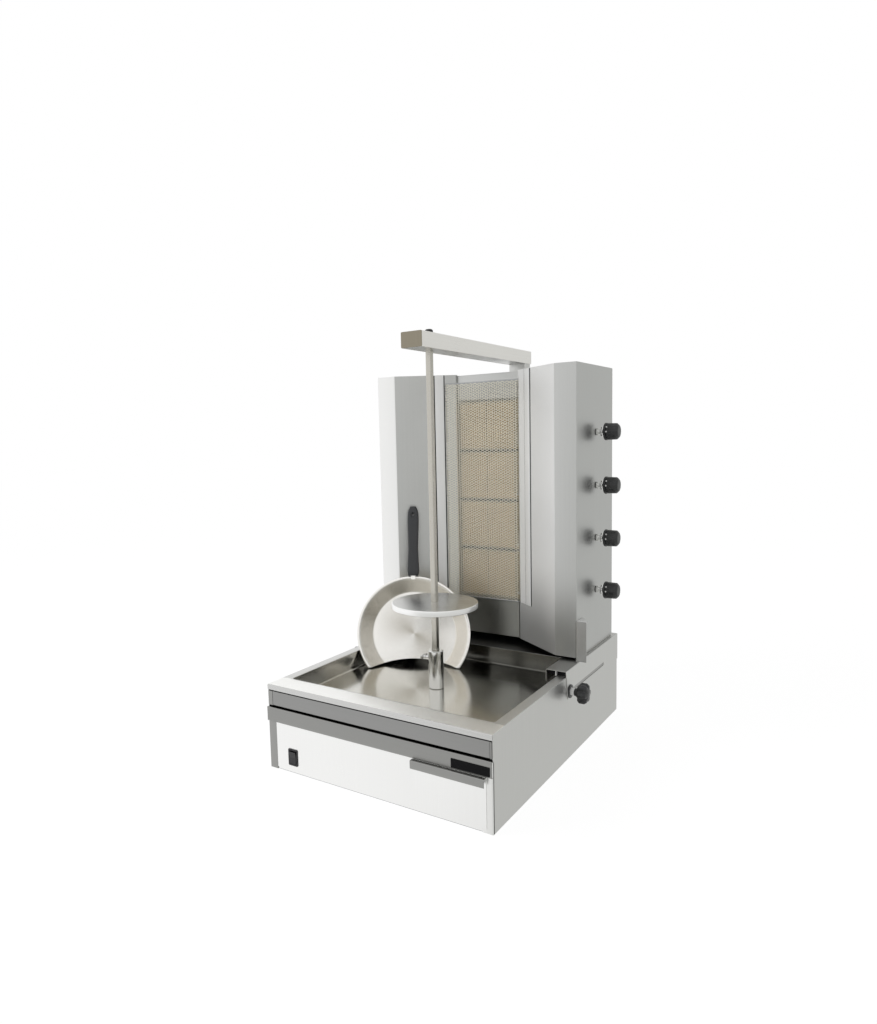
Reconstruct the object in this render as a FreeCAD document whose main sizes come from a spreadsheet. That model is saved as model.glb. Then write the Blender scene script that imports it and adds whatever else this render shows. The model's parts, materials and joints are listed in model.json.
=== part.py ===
import FreeCAD, Part
import Sketcher
import os
import re

# A gas kebab grill for a counter. The origin is the axis of the skewer on the face the machine rests on:
# +X is the machine's right as a cook sees it, +Y runs from the cook to the burners, +Z is up.

doc = FreeCAD.newDocument("kebab_grill")
sheet = doc.addObject("Spreadsheet::Sheet", "Sizes")

SIZES = {
    # sheet metal, the play between parts, and how far a cutting block runs past what it cuts
    "gauge": 1.5,
    "play": 0.3,
    "running": 0.05,
    "overcut": 5,
    # base cabinet
    "width": 600,
    "front_to_axis": 292,
    "back_margin": 24,
    "rim_height": 207,
    "flange": 24,
    "front_rim": 61,
    "side_rim": 25,
    "tray_length": 482,
    "tray_depth": 47,
    "rim_fold": 12.5,
    "fascia_bottom": 6,
    "fascia_lap": 3,
    "floor_gap": 1,
    "band_bottom": 118,
    "band_height": 35,
    "band_proud": 4,
    "vent_gap": 4,
    # blank plate on the band
    "plate_width": 88,
    "plate_height": 20,
    "plate_thick": 1,
    "plate_side_gap": 4,
    "plate_rise": 3,
    # grease drawer
    "drawer_margin": 14,
    "drawer_width": 173,
    "drawer_bottom": 9,
    "drawer_gap": 1,
    "drawer_depth": 300,
    "drawer_overlap": 9,
    "lip_reach": 12,
    "lip_drop": 18,
    "box_rise": 7,
    "box_headroom": 12,
    "opening_under": 1,
    "opening_over": 2,
    "runner_wall": 3,
    "runner_rise": 40,
    "runner_past": 10,
    "ledge": 16,
    # drain
    "drain_from_axis": 150,
    "drain_radius": 15,
    "drain_reach": 26,
    # rocker switch
    "switch_margin": 74.5,
    "switch_width": 28.5,
    "switch_height": 41,
    "switch_bottom": 19,
    "switch_depth": 24,
    "switch_floor": 6,
    "bezel": 2,
    "key_side": 2.25,
    "key_end": 3,
    "key_swing": 1,
    "key_out": 3,
    "key_dip": 0.5,
    "key_depth": 10,
    "key_shoulder": 6,
    "key_taper": 2,
    # drive
    "gearbox_side": 96,
    "gearbox_height": 52,
    "bracket_height": 62,
    "bridge_wall": 3,
    "bridge_clear": 9,
    "boss_wall": 6,
    "boss_height": 10,
    "motor_radius": 32,
    "motor_length": 110,
    "motor_rise": 6,
    "shaft_radius": 7.5,
    "shaft_engaged": 18,
    "shaft_end_gap": 2,
    "bush_radius": 14,
    "bush_flange": 18,
    "bush_flange_thick": 2,
    "bush_below": 8,
    "coupler_radius": 19,
    "coupler_height": 97,
    "coupler_socket": 58,
    "coupler_lift": 3,
    "coupler_plug": 6,
    "coupler_edge": 2,
    "screw_drop": 22,
    "screw_reach": 18,
    "screw_wing_half": 14,
    "screw_wing_rise": 5,
    "screw_wing_thick": 4,
    "skewer_side": 14,
    "skewer_into_arm": 3,
    "disc_radius": 107,
    "disc_thick": 14,
    "disc_sheet": 4,
    "disc_lift": 122,
    "disc_edge": 3,
    "disc_hub": 24,
    "disc_hub_drop": 8,
    "disc_hub_taper": 4,
    # overhead arm and its post
    "arm_width": 57,
    "arm_height": 37,
    "arm_over_tower": 36,
    "arm_front": 80,
    "post_depth": 38,
    "post_wall": 2,
    "post_foot": 40,
    "foot_plate": 5,
    "foot_plate_width": 130,
    "foot_plate_height": 150,
    "arm_bush_margin": 4,
    "arm_bush_lift": 3,
    "pin_radius": 5,
    "pin_depth": 14,
    "pin_taper": 2,
    "pin_knob_radius": 10,
    "pin_knob_height": 12,
    "pin_knob_edge": 3,
    # clamp that fixes the burner tower
    "clamp_from_axis": 126,
    "clamp_drop": 40,
    "stud_radius": 4,
    "stud_nut": 7,
    "washer_radius": 16.5,
    "washer_thick": 2,
    "clamp_stand_off": 13,
    "clamp_hub_radius": 9,
    "clamp_hub": 10,
    "clamp_hub_flare": 2,
    "clamp_head_radius": 25,
    "clamp_head": 25,
    "clamp_edge": 5,
    "clamp_bore_past": 4,
    # carriage that carries the tower on the side rims
    "carriage_lead": 26,
    "carriage_width": 50,
    "carriage_rise": 15,
    "carriage_leg": 30,
    "carriage_leg_length": 140,
    "skirt_drop": 57,
    "skirt_slant": 12,
    "slot_length": 255,
    "glide_length": 60,
    "glide_lead": 12,
    "glide_inset": 2,
    # burner tower
    "tower_inset": 7.5,
    "tower_clear": 91,
    "tower_depth": 275,
    "tower_lift": 6,
    "tower_crown": 78.2,
    "wing_clear": 128,
    "wing_angle": 35.3,
    "roof_drop": 4,
    "floor_lift": 1,
    "panel_setback": 8,
    "upper_gap": 6.2,
    "lower_gap": 7,
    "lower_side_gap": 3,
    "hook_roll": 5,
    "bracket_width": 25.5,
    "bracket_gauge": 3,
    "bracket_leg": 40,
    "foot_bracket_height": 101,
    "rail_start": 27,
    "rail_width": 27,
    "rail_height": 4,
    "rail_top_gap": 1,
    # louvres in the rear cover and vents in the roof
    "louvre_half": 180,
    "louvre_height": 6,
    "louvre_pitch": 18,
    "louvre_drop": 54,
    "vent_width": 30,
    "vent_length": 50,
    "vent_pitch": 60,
    "vent_from_back": 30,
    # burners
    "burner_lift": 108,
    "burner_gap": 3.6,
    "burner_depth": 45,
    "burner_setback": 14,
    "burner_overlap": 2,
    "burner_rail_in": 24,
    "burner_rail_width": 20,
    "burner_rail_thick": 3,
    "plaque_edge": 6,
    "plaque_width": 82,
    "plaque_height": 124,
    "plaque_thick": 12,
    "plaque_seam": 1,
    "plaque_margin": 5,
    "plaque_sunk": 1,
    "clip_strip": 21,
    "chamber_inset": 4,
    "chamber_rise": 12,
    "probe_radius": 1.6,
    "probe_in": 8,
    "probe_out": 4,
    "probe_foot": 20,
    "probe_length": 34,
    "probe_clip_half": 4,
    "probe_clip_depth": 6,
    "probe_clip_height": 6,
    # guard in front of the burners
    "guard_gauge": 1,
    "guard_bar": 4,
    "guard_inset": 1,
    "guard_under": 5,
    "guard_over": 55.2,
    "guard_rail_gap": 1,
    "guard_miter": 1.6,
    # gas line
    "valve_ahead": 16.8,
    "valve_drop": 25,
    "valve_side": 30,
    "valve_length": 34,
    "valve_bore_start": 10,
    "stem_radius": 4,
    "stem_start": 12,
    "stem_short": 8,
    "gas_stand_off": 24.5,
    "gas_knob_radius": 22,
    "gas_knob_length": 36,
    "knob_skirt": 0.5,
    "knob_skirt_height": 6,
    "knob_nose": 5,
    "knob_cap": 4,
    "pipe_radius": 10,
    "mixer_in": 30,
    "neck_in": 20,
    "riser_lift": 40,
    "riser_top_gap": 100,
    "inlet_lift": 50,
    "inlet_reach": 30,
    # scoop that leans on the left wing
    "scoop_radius": 157,
    "scoop_floor_radius": 116,
    "scoop_depth": 34,
    "scoop_wall": 1.5,
    "scoop_edge": 2,
    "scoop_rim": 5,
    "scoop_shoulder": 8,
    "scoop_rise": 97,
    "scoop_cut_rise": 28,
    "scoop_left": 132,
    "scoop_gap": 0.93,
    "scoop_skew": 7,
    "scoop_lean": 16.9,
    "handle_length": 212,
    "handle_lap": 14,
    "handle_width": 34,
    "handle_waist": 27,
    "handle_thick": 15,
    "handle_taper": 6,
    "handle_hole": 7,
    "handle_hole_in": 20,
    "grip_start": 20,
    "tang_width": 18,
    "tang_start": 10,
    "tang_end": 32,
    "tang_thick": 3,
    # cable gland at the back
    "gland_radius": 11,
    "gland_reach": 14,
    "gland_margin": 100,
    "gland_up": 60,
}
BURNERS = 4
LOUVRES = 6
ROOF_VENTS = 8
GUARD_COLUMNS = 8
GUARD_ROWS = 24
KNOB_LOBES = 6

for row, (alias, value) in enumerate(SIZES.items(), start=1):
    sheet.set(f"A{row}", alias)
    sheet.set(f"B{row}", str(value))
    sheet.setAlias(f"B{row}", alias)
doc.recompute()


def link(text):
    """An expression in the sheet's words, with each word tied to the sheet."""
    def tied(word):
        return "Sizes." + word[0] if word[0] in SIZES else word[0]
    return re.sub(r"[A-Za-z_]\w*", tied, str(text))


def number(text):
    """The value of an expression in the sheet's words."""
    return float(doc.Sizes.evalExpression(link(text)))


def tie(thing, prop, text):
    thing.setExpression(prop, link(text))


def place(thing, x="0", y="0", z="0"):
    for axis, text in zip("xyz", (x, y, z)):
        tie(thing, f"Placement.Base.{axis}", text)
    return thing


def block(name, x, y, z):
    """A rectangular block between the low and high ends given for each axis."""
    box = doc.addObject("Part::Box", name)
    for prop, (low, high) in zip(("Length", "Width", "Height"), (x, y, z)):
        tie(box, prop, f"({high}) - ({low})")
    return place(box, x[0], y[0], z[0])


def rod(name, axis, radius, start, length):
    """A round bar from start along +X, +Y or +Z."""
    bar = doc.addObject("Part::Cylinder", name)
    turns = {"X": ((0, 1, 0), 90), "Y": ((1, 0, 0), -90), "Z": ((0, 0, 1), 0)}
    direction, angle = turns[axis]
    bar.Placement.Rotation = FreeCAD.Rotation(FreeCAD.Vector(*direction), angle)
    tie(bar, "Radius", radius)
    tie(bar, "Height", length)
    return place(bar, *start)


def side_span(side, low, high):
    """The ends of a span in X on the right (+1), or its mirror on the left (-1)."""
    return (low, high) if side > 0 else (f"-({high})", f"-({low})")


def about(middle, half):
    """The ends of a span that lies evenly about its middle."""
    return f"({middle}) - ({half})", f"({middle}) + ({half})"


def join(name, *shapes):
    whole = doc.addObject("Part::MultiFuse", name)
    whole.Shapes = list(shapes)
    return whole


def carve(name, base, *tools):
    tool = tools[0] if len(tools) == 1 else join(name + "_tools", *tools)
    left = doc.addObject("Part::Cut", name)
    left.Base, left.Tool = base, tool
    return left


def gather(name, shapes):
    """Equal pieces that share one node as separate solids."""
    whole = doc.addObject("Part::Compound", name)
    whole.Links = list(shapes)
    return whole


def sketch_on(body, plane, points):
    """A closed outline on one of the body's own planes, every corner tied to the sheet."""
    sketch = body.newObject("Sketcher::SketchObject", body.Name + "_outline")
    origin_plane = [f for f in body.Origin.OriginFeatures if f.Role == plane][0]
    sketch.AttachmentSupport = [(origin_plane, "")]
    sketch.MapMode = "FlatFace"
    corners = [FreeCAD.Vector(number(a), number(b), 0) for a, b in points]
    count = len(corners)
    for i in range(count):
        sketch.addGeometry(Part.LineSegment(corners[i], corners[(i + 1) % count]), False)
    for i in range(count):
        sketch.addConstraint(Sketcher.Constraint("Coincident", i, 2, (i + 1) % count, 1))
    for i, (a, b) in enumerate(points):
        for kind, text, value in (("DistanceX", a, corners[i].x), ("DistanceY", b, corners[i].y)):
            at = sketch.addConstraint(Sketcher.Constraint(kind, -1, 1, i, 1, value))
            sketch.setExpression(f"Constraints[{at}]", link(text))
    return sketch


def prism(name, plane, points, low, high):
    """An outline on XY_Plane carried up +Z, or on YZ_Plane carried along +X, from low to high."""
    body = doc.addObject("PartDesign::Body", name)
    sketch = sketch_on(body, plane, points)
    pad = body.newObject("PartDesign::Pad", name + "_pad")
    pad.Profile = sketch
    tie(pad, "Length", f"({high}) - ({low})")
    return place(body, z=low) if plane == "XY_Plane" else place(body, x=low)


def turned(name, points, start=("0", "0", "0"), axis="Z"):
    """An outline of radius and height, turned about its height axis, which lies along axis."""
    body = doc.addObject("PartDesign::Body", name)
    sketch = sketch_on(body, "XZ_Plane", points)
    ring = body.newObject("PartDesign::Revolution", name + "_turned")
    ring.Profile = sketch
    ring.ReferenceAxis = (sketch, ["V_Axis"])
    ring.Angle = 360
    turns = {"X": 90, "-X": -90, "Z": 0}
    body.Placement.Rotation = FreeCAD.Rotation(FreeCAD.Vector(0, 1, 0), turns[axis])
    return place(body, *start)


# Places worked out from the sizes: the cabinet
HALF = "(width / 2)"
FRONT = "(-front_to_axis)"
TOWER_FRONT = "(disc_radius + tower_clear)"
TOWER_BACK = "(disc_radius + tower_clear + tower_depth)"
BACK = "(disc_radius + tower_clear + tower_depth + back_margin)"
RIM_UNDER = "(rim_height - gauge)"
FLOOR_TOP = "(rim_height - tray_depth)"
FLOOR_UNDER = "(rim_height - tray_depth - gauge)"
TRAY_FRONT = "(front_rim - front_to_axis)"
TRAY_BACK = "(front_rim - front_to_axis + tray_length)"
TRAY_HALF = "(width / 2 - side_rim)"
BAND_TOP = "(band_bottom + band_height)"
PANEL_IN = "(width / 2 - gauge)"
DRAWER_RIGHT = "(width / 2 - drawer_margin)"
DRAWER_LEFT = "(width / 2 - drawer_margin - drawer_width)"
DRAWER_TOP = "(band_bottom - drawer_gap)"
BOX_LEFT = f"({DRAWER_LEFT} + drawer_overlap + 2 * play)"
BOX_RIGHT = f"({DRAWER_RIGHT} - 2 * drawer_overlap - 2 * play)"
BOX_BOTTOM = "(drawer_bottom + box_rise)"
BOX_TOP = f"({DRAWER_TOP} - lip_drop - box_headroom)"
DRAIN_X = f"(({DRAWER_LEFT} + {DRAWER_RIGHT}) / 2)"
SWITCH_X = "(switch_margin - width / 2)"
SWITCH_UP = "(switch_bottom + switch_height / 2)"
CLAMP_UP = "(rim_height - clamp_drop)"
# The drive
GEARBOX_TOP = "(bracket_height + gearbox_height)"
COUPLER_BOTTOM = f"({FLOOR_TOP} + coupler_lift)"
COUPLER_TOP = f"({COUPLER_BOTTOM} + coupler_height)"
SOCKET_BOTTOM = f"({COUPLER_TOP} - coupler_socket)"
SCREW_UP = f"({COUPLER_TOP} - screw_drop)"
DISC_TOP = f"({COUPLER_TOP} + disc_lift)"
# The carriages and the tower
CARRIAGE_FRONT = "(clamp_from_axis - carriage_lead)"
PLATE_TOP = "(rim_height + carriage_rise)"
SKIRT_OUT = "(width / 2 + play + gauge)"
TOWER_HALF = "(width / 2 - tower_inset)"
TOWER_BOTTOM = "(rim_height + carriage_rise + tower_lift)"
BURNER_HALF = "((plaque_edge + 2 * plaque_width + plaque_seam + clip_strip) / 2)"
BURNER_PITCH = "(plaque_height + 2 * plaque_margin + burner_gap)"
BURNER_BOTTOM = f"({TOWER_BOTTOM} + burner_lift)"
BURNER_TOP = f"({BURNER_BOTTOM} + {BURNERS} * {BURNER_PITCH} - burner_gap)"
TOWER_TOP = f"({BURNER_TOP} + tower_crown)"
WING_CORNER = "(disc_radius + wing_clear)"
WING_IN = f"({BURNER_HALF} - burner_overlap)"
RECESS = f"({TOWER_FRONT} + ({WING_CORNER} - {WING_IN}) * tan(wing_angle))"
PANEL_Y = f"({RECESS} + panel_setback)"
BURNER_FACE = f"({RECESS} + burner_setback)"
BURNER_BACK = f"({BURNER_FACE} + burner_depth)"
GUARD_BOTTOM = f"({BURNER_BOTTOM} - guard_under)"
GUARD_TOP = f"({BURNER_TOP} + guard_over)"
# The gas line
VALVE_Y = f"({BURNER_BACK} - valve_ahead)"
VALVE_IN = f"({TOWER_HALF} - gauge - play - valve_length)"
RISER_X = f"({VALVE_IN} - pipe_radius)"
RISER_Y = f"({BURNER_BACK} + pipe_radius)"
KNOB_FACE = f"({TOWER_HALF} + gas_stand_off)"
# The arm and the skewer's upper end
POST_FRONT = f"({BACK} + foot_plate)"
ARM_BACK = f"({POST_FRONT} + post_depth)"
ARM_BOTTOM = f"({TOWER_TOP} + arm_over_tower)"
ARM_TOP = f"({ARM_BOTTOM} + arm_height)"
SKEWER_TOP = f"({ARM_BOTTOM} + skewer_into_arm)"


def side_panel(name, side):
    """One side of the cabinet: a web with a flange folded in at the front and the clamp stud's hole."""
    web = block(name + "_web", side_span(side, PANEL_IN, HALF), (FRONT, BACK), ("0", RIM_UNDER))
    fold = block(name + "_fold", side_span(side, f"{HALF} - flange", PANEL_IN),
                 (FRONT, f"{FRONT} + gauge"), ("0", f"{BAND_TOP} - fascia_lap"))
    hole = rod(name + "_hole", "X", "stud_radius + play",
               (f"{side} * {HALF} - overcut", "clamp_from_axis", CLAMP_UP), "2 * overcut")
    return carve(name, join(name + "_sheet", web, fold), hole)


def front_fascia():
    """The lower front, with openings for the rocker switch and the grease drawer."""
    edge = f"({HALF} - flange - play)"
    through = (f"{FRONT} - overcut", f"{FRONT} + overcut")
    plate = block("fascia_plate", (f"-{edge}", edge), (FRONT, f"{FRONT} + gauge"),
                  ("fascia_bottom", f"{BAND_TOP} - fascia_lap"))
    switch = block("fascia_switch_hole", about(SWITCH_X, "switch_width / 2 - bezel + play"), through,
                   about(SWITCH_UP, "switch_height / 2 - bezel + play"))
    opening = block("fascia_drawer_hole", (f"{BOX_LEFT} - 2 * play", f"{BOX_RIGHT} + 2 * play"), through,
                    (f"{BOX_BOTTOM} - opening_under", f"{BOX_TOP} + opening_over"))
    return carve("front_fascia", plate, switch, opening)


def front_apron():
    """The dark strip between the rim's fold and the vent gap."""
    return block("front_apron", (f"-{PANEL_IN} + play", f"{PANEL_IN} - play"), (FRONT, f"{FRONT} + gauge"),
                 (f"{BAND_TOP} + vent_gap", "rim_height - rim_fold - 2 * play"))


def front_band():
    """A shallow folded strip that stands proud under the vent gap."""
    full = (f"-{HALF}", HALF)
    face = block("band_face", full, (f"{FRONT} - band_proud", f"{FRONT} - band_proud + gauge"),
                 ("band_bottom", BAND_TOP))
    ledge = (f"{FRONT} - band_proud + gauge", FRONT)
    top = block("band_top_fold", full, ledge, (f"{BAND_TOP} - gauge", BAND_TOP))
    bottom = block("band_bottom_fold", full, ledge, ("band_bottom", "band_bottom + gauge"))
    return join("front_band", face, top, bottom)


def blank_plate():
    """A small plate without any mark at the right end of the band."""
    right = f"({HALF} - plate_side_gap)"
    return block("blank_plate", (f"{right} - plate_width", right),
                 (f"{FRONT} - band_proud - plate_thick", f"{FRONT} - band_proud"),
                 ("band_bottom + plate_rise", "band_bottom + plate_rise + plate_height"))


def cabinet_back_and_floor():
    block("back_panel", (f"-{PANEL_IN}", PANEL_IN), (f"{BACK} - gauge", BACK), ("gauge", RIM_UNDER))
    block("bottom_plate", (f"-{PANEL_IN}", PANEL_IN), (f"{FRONT} + gauge + floor_gap", BACK), ("0", "gauge"))


def drip_tray():
    """The rim and the sunk pan under the meat in one pressing, with its drain spout and shaft hole."""
    rim = block("tray_rim", (f"-{HALF}", HALF), (FRONT, BACK), (RIM_UNDER, "rim_height"))
    fold = block("tray_fold", (f"-{PANEL_IN} + play", f"{PANEL_IN} - play"), (FRONT, f"{FRONT} + gauge"),
                 ("rim_height - rim_fold", "rim_height"))
    pan = block("tray_pan", about("0", f"{TRAY_HALF} + gauge"),
                (f"{TRAY_FRONT} - gauge", f"{TRAY_BACK} + gauge"), (FLOOR_UNDER, "rim_height"))
    spout_end = f"({FLOOR_UNDER} - drain_reach)"
    spout = rod("tray_spout", "Z", "drain_radius + gauge", (DRAIN_X, "-drain_from_axis", spout_end),
                "drain_reach + gauge")
    hollow = block("tray_hollow", about("0", TRAY_HALF), (TRAY_FRONT, TRAY_BACK),
                   (FLOOR_TOP, "rim_height + overcut"))
    drain = rod("tray_drain", "Z", "drain_radius", (DRAIN_X, "-drain_from_axis", f"{spout_end} - overcut"),
                "drain_reach + gauge + 2 * overcut")
    shaft = rod("tray_shaft_hole", "Z", "bush_radius", ("0", "0", f"{FLOOR_UNDER} - overcut"),
                "gauge + 2 * overcut")
    return carve("drip_tray", join("tray_sheet", rim, fold, pan, spout), hollow, drain, shaft)


def switch_housing():
    """The switch's frame: a bezel on the fascia and a box behind it, open where the rocker tilts."""
    bezel = block("switch_bezel", about(SWITCH_X, "switch_width / 2"), (f"{FRONT} - bezel", FRONT),
                  about(SWITCH_UP, "switch_height / 2"))
    box = block("switch_box", about(SWITCH_X, "switch_width / 2 - bezel"), (FRONT, f"{FRONT} + switch_depth"),
                about(SWITCH_UP, "switch_height / 2 - bezel"))
    well = block("switch_well", about(SWITCH_X, "switch_width / 2 - bezel - key_side + play"),
                 (f"{FRONT} - bezel - overcut", f"{FRONT} + switch_depth - switch_floor"),
                 about(SWITCH_UP, "switch_height / 2 - bezel - key_end + key_swing"))
    return carve("switch_housing", join("switch_shell", bezel, box), well)


def rocker():
    """The tilting key, a flat V seen from the side, whose upper half stands out when it is off."""
    reach = "(switch_height / 2 - bezel - key_end)"
    points = [(f"{FRONT} - bezel - key_out", f"{SWITCH_UP} + {reach}"),
              (f"{FRONT} - bezel + key_dip", SWITCH_UP),
              (f"{FRONT} - bezel - key_dip", f"{SWITCH_UP} - {reach}"),
              (f"{FRONT} + key_shoulder", f"{SWITCH_UP} - {reach} + key_taper"),
              (f"{FRONT} + key_depth", SWITCH_UP),
              (f"{FRONT} + key_shoulder", f"{SWITCH_UP} + {reach} - key_taper")]
    return prism("rocker", "YZ_Plane", points, *about(SWITCH_X, "switch_width / 2 - bezel - key_side"))


def drawer():
    """The grease drawer: an open box and its front, whose top edge folds out as a finger lip."""
    back = f"({FRONT} + drawer_depth)"
    shell = block("drawer_shell", (BOX_LEFT, BOX_RIGHT), (FRONT, back), (BOX_BOTTOM, BOX_TOP))
    hollow = block("drawer_hollow", (f"{BOX_LEFT} + gauge", f"{BOX_RIGHT} - gauge"),
                   (f"{FRONT} + gauge", f"{back} - gauge"), (f"{BOX_BOTTOM} + gauge", f"{BOX_TOP} + overcut"))
    carve("drawer_tray", shell, hollow)
    across = (DRAWER_LEFT, DRAWER_RIGHT)
    top_edge = f"({DRAWER_TOP} - play)"
    face = block("drawer_face", across, (f"{FRONT} - gauge", FRONT), ("drawer_bottom", top_edge))
    top = block("drawer_lip_top", across, (f"{FRONT} - lip_reach", f"{FRONT} - gauge"),
                (f"{top_edge} - gauge", top_edge))
    drop = block("drawer_lip_drop", across, (f"{FRONT} - lip_reach", f"{FRONT} - lip_reach + gauge"),
                 (f"{top_edge} - lip_drop", top_edge))
    join("drawer_front", face, top, drop)


def drawer_runners():
    """Two angles on the cabinet's floor that carry the drawer's edges."""
    along = (f"{FRONT} + gauge + floor_gap", f"{FRONT} + drawer_depth + runner_past")
    left, right = f"({BOX_LEFT} - play)", f"({BOX_RIGHT} + play)"
    rails = []
    for name, wall, shelf in (("left", (f"{left} - runner_wall", left), (left, f"{left} + play + ledge")),
                              ("right", (right, f"{right} + runner_wall"),
                               (f"{right} - play - ledge", right))):
        upright = block(f"runner_{name}_wall", wall, along, ("gauge", f"{BOX_BOTTOM} + runner_rise"))
        ledge = block(f"runner_{name}_ledge", shelf, along, ("gauge", f"{BOX_BOTTOM} - play"))
        rails.append(join(f"runner_{name}", upright, ledge))
    return gather("drawer_runners", rails)


def gear_motor():
    """The bridge under the pan, the gearbox with its boss, and the motor behind it."""
    half = "(gearbox_side / 2)"
    outside = block("bridge_outside", about("0", f"{half} + bridge_clear + bridge_wall"), about("0", half),
                    ("gauge", "bracket_height"))
    inside = block("bridge_inside", about("0", f"{half} + bridge_clear"), about("0", f"{half} + overcut"),
                   ("0", "bracket_height - bridge_wall"))
    carve("motor_bridge", outside, inside)
    case = block("gearbox_case", about("0", half), about("0", half), ("bracket_height", GEARBOX_TOP))
    boss = rod("gearbox_boss", "Z", "bush_radius + boss_wall", ("0", "0", GEARBOX_TOP), "boss_height")
    bore_bottom = f"({GEARBOX_TOP} - shaft_engaged - shaft_end_gap)"
    bore = rod("gearbox_bore", "Z", "shaft_radius + running", ("0", "0", bore_bottom),
               "shaft_engaged + shaft_end_gap + boss_height + overcut")
    carve("gearbox", join("gearbox_cast", case, boss), bore)
    rod("drive_motor", "Y", "motor_radius", ("0", half, "bracket_height + gearbox_height / 2 + motor_rise"),
        "motor_length")


def shaft_and_coupler():
    """The bush in the pan's floor, the shaft through it, and the coupler with its socket and wing screw."""
    bore = "shaft_radius + running"
    turned("shaft_bush", [(bore, f"{FLOOR_UNDER} - bush_below"),
                          ("bush_radius", f"{FLOOR_UNDER} - bush_below"),
                          ("bush_radius", FLOOR_TOP), ("bush_flange", FLOOR_TOP),
                          ("bush_flange", f"{FLOOR_TOP} + bush_flange_thick"),
                          (bore, f"{FLOOR_TOP} + bush_flange_thick")])
    shaft_top = f"({SOCKET_BOTTOM} - coupler_plug)"
    shaft_bottom = f"({GEARBOX_TOP} - shaft_engaged)"
    rod("drive_shaft", "Z", "shaft_radius", ("0", "0", shaft_bottom), f"{shaft_top} - {shaft_bottom}")
    sleeve = turned("coupler_sleeve", [
        ("shaft_radius", COUPLER_BOTTOM), ("coupler_radius - coupler_edge / 2", COUPLER_BOTTOM),
        ("coupler_radius", f"{COUPLER_BOTTOM} + coupler_edge / 2"),
        ("coupler_radius", f"{COUPLER_TOP} - coupler_edge"),
        ("coupler_radius - coupler_edge", COUPLER_TOP), ("0", COUPLER_TOP), ("0", shaft_top),
        ("shaft_radius", shaft_top)])
    square = about("0", "skewer_side / 2")
    socket = block("coupler_socket_cut", square, square, (SOCKET_BOTTOM, f"{COUPLER_TOP} + overcut"))
    tapped = rod("coupler_tapped_hole", "X", "stud_radius", ("-coupler_radius - overcut", "0", SCREW_UP),
                 "coupler_radius + overcut")
    carve("drive_coupler", sleeve, socket, tapped)
    head = "(-coupler_radius - screw_reach)"
    screw = rod("screw_shank", "X", "stud_radius - running", (head, "0", SCREW_UP),
                f"-{head} - skewer_side / 2 - play")
    wings = block("screw_wings", (head, f"{head} + screw_wing_thick"), about("0", "screw_wing_half"),
                  about(SCREW_UP, "screw_wing_rise"))
    join("wing_screw", screw, wings)


def skewer_and_disc():
    """The square bar with the release pin's bore in its upper end, and the disc that carries the meat."""
    square = about("0", "skewer_side / 2")
    bar = block("skewer_square", square, square, (SOCKET_BOTTOM, SKEWER_TOP))
    bore_bottom = f"({SKEWER_TOP} - pin_depth - pin_taper)"
    bore = rod("skewer_pin_bore", "Z", "pin_radius + running", ("0", "0", bore_bottom),
               "pin_depth + pin_taper + overcut")
    carve("skewer_bar", bar, bore)
    bottom = f"({DISC_TOP} - disc_thick)"
    under = f"({DISC_TOP} - disc_sheet)"
    small = "disc_edge / 3"
    plate = turned("disc_turned", [
        ("0", f"{bottom} - disc_hub_drop"), ("disc_hub - disc_hub_taper", f"{bottom} - disc_hub_drop"),
        ("disc_hub", under), ("disc_radius - disc_sheet", under), ("disc_radius - disc_sheet", bottom),
        (f"disc_radius - {small}", bottom), ("disc_radius", f"{bottom} + {small}"),
        ("disc_radius", f"{DISC_TOP} - disc_edge"), (f"disc_radius - {small}", f"{DISC_TOP} - {small}"),
        ("disc_radius - disc_edge", DISC_TOP), ("0", DISC_TOP)])
    hole = block("disc_square_hole", square, square, (f"{bottom} - disc_hub_drop - overcut",
                                                      f"{DISC_TOP} + overcut"))
    carve("meat_disc", plate, hole)


def arm_and_post():
    """The post behind the cabinet on its foot plate, and the hollow arm over the skewer."""
    half_post = "(arm_width / 2 - post_wall - play)"
    channel_top = f"({ARM_TOP} - post_wall)"
    tube = block("post_tube", about("0", half_post), (POST_FRONT, f"{ARM_BACK} - post_wall"),
                 ("post_foot", channel_top))
    core = block("post_core", about("0", f"{half_post} - post_wall"),
                 (f"{POST_FRONT} + post_wall", f"{ARM_BACK} - 2 * post_wall"),
                 ("post_foot - overcut", f"{ARM_TOP} + overcut"))
    foot = block("post_foot_plate", about("0", "foot_plate_width / 2"), (BACK, POST_FRONT),
                 ("post_foot", "post_foot + foot_plate_height"))
    join("arm_post", carve("post_hollow", tube, core), foot)
    bar = block("arm_outside", about("0", "arm_width / 2"), ("-arm_front", ARM_BACK), (ARM_BOTTOM, ARM_TOP))
    channel = block("arm_inside", about("0", "arm_width / 2 - post_wall"),
                    ("-arm_front + post_wall", f"{ARM_BACK} - post_wall"),
                    (f"{ARM_BOTTOM} - overcut", channel_top))
    hole = rod("arm_pin_hole", "Z", "pin_radius + play", ("0", "0", ARM_BOTTOM), "arm_height + overcut")
    carve("top_arm", bar, channel, hole)


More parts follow.
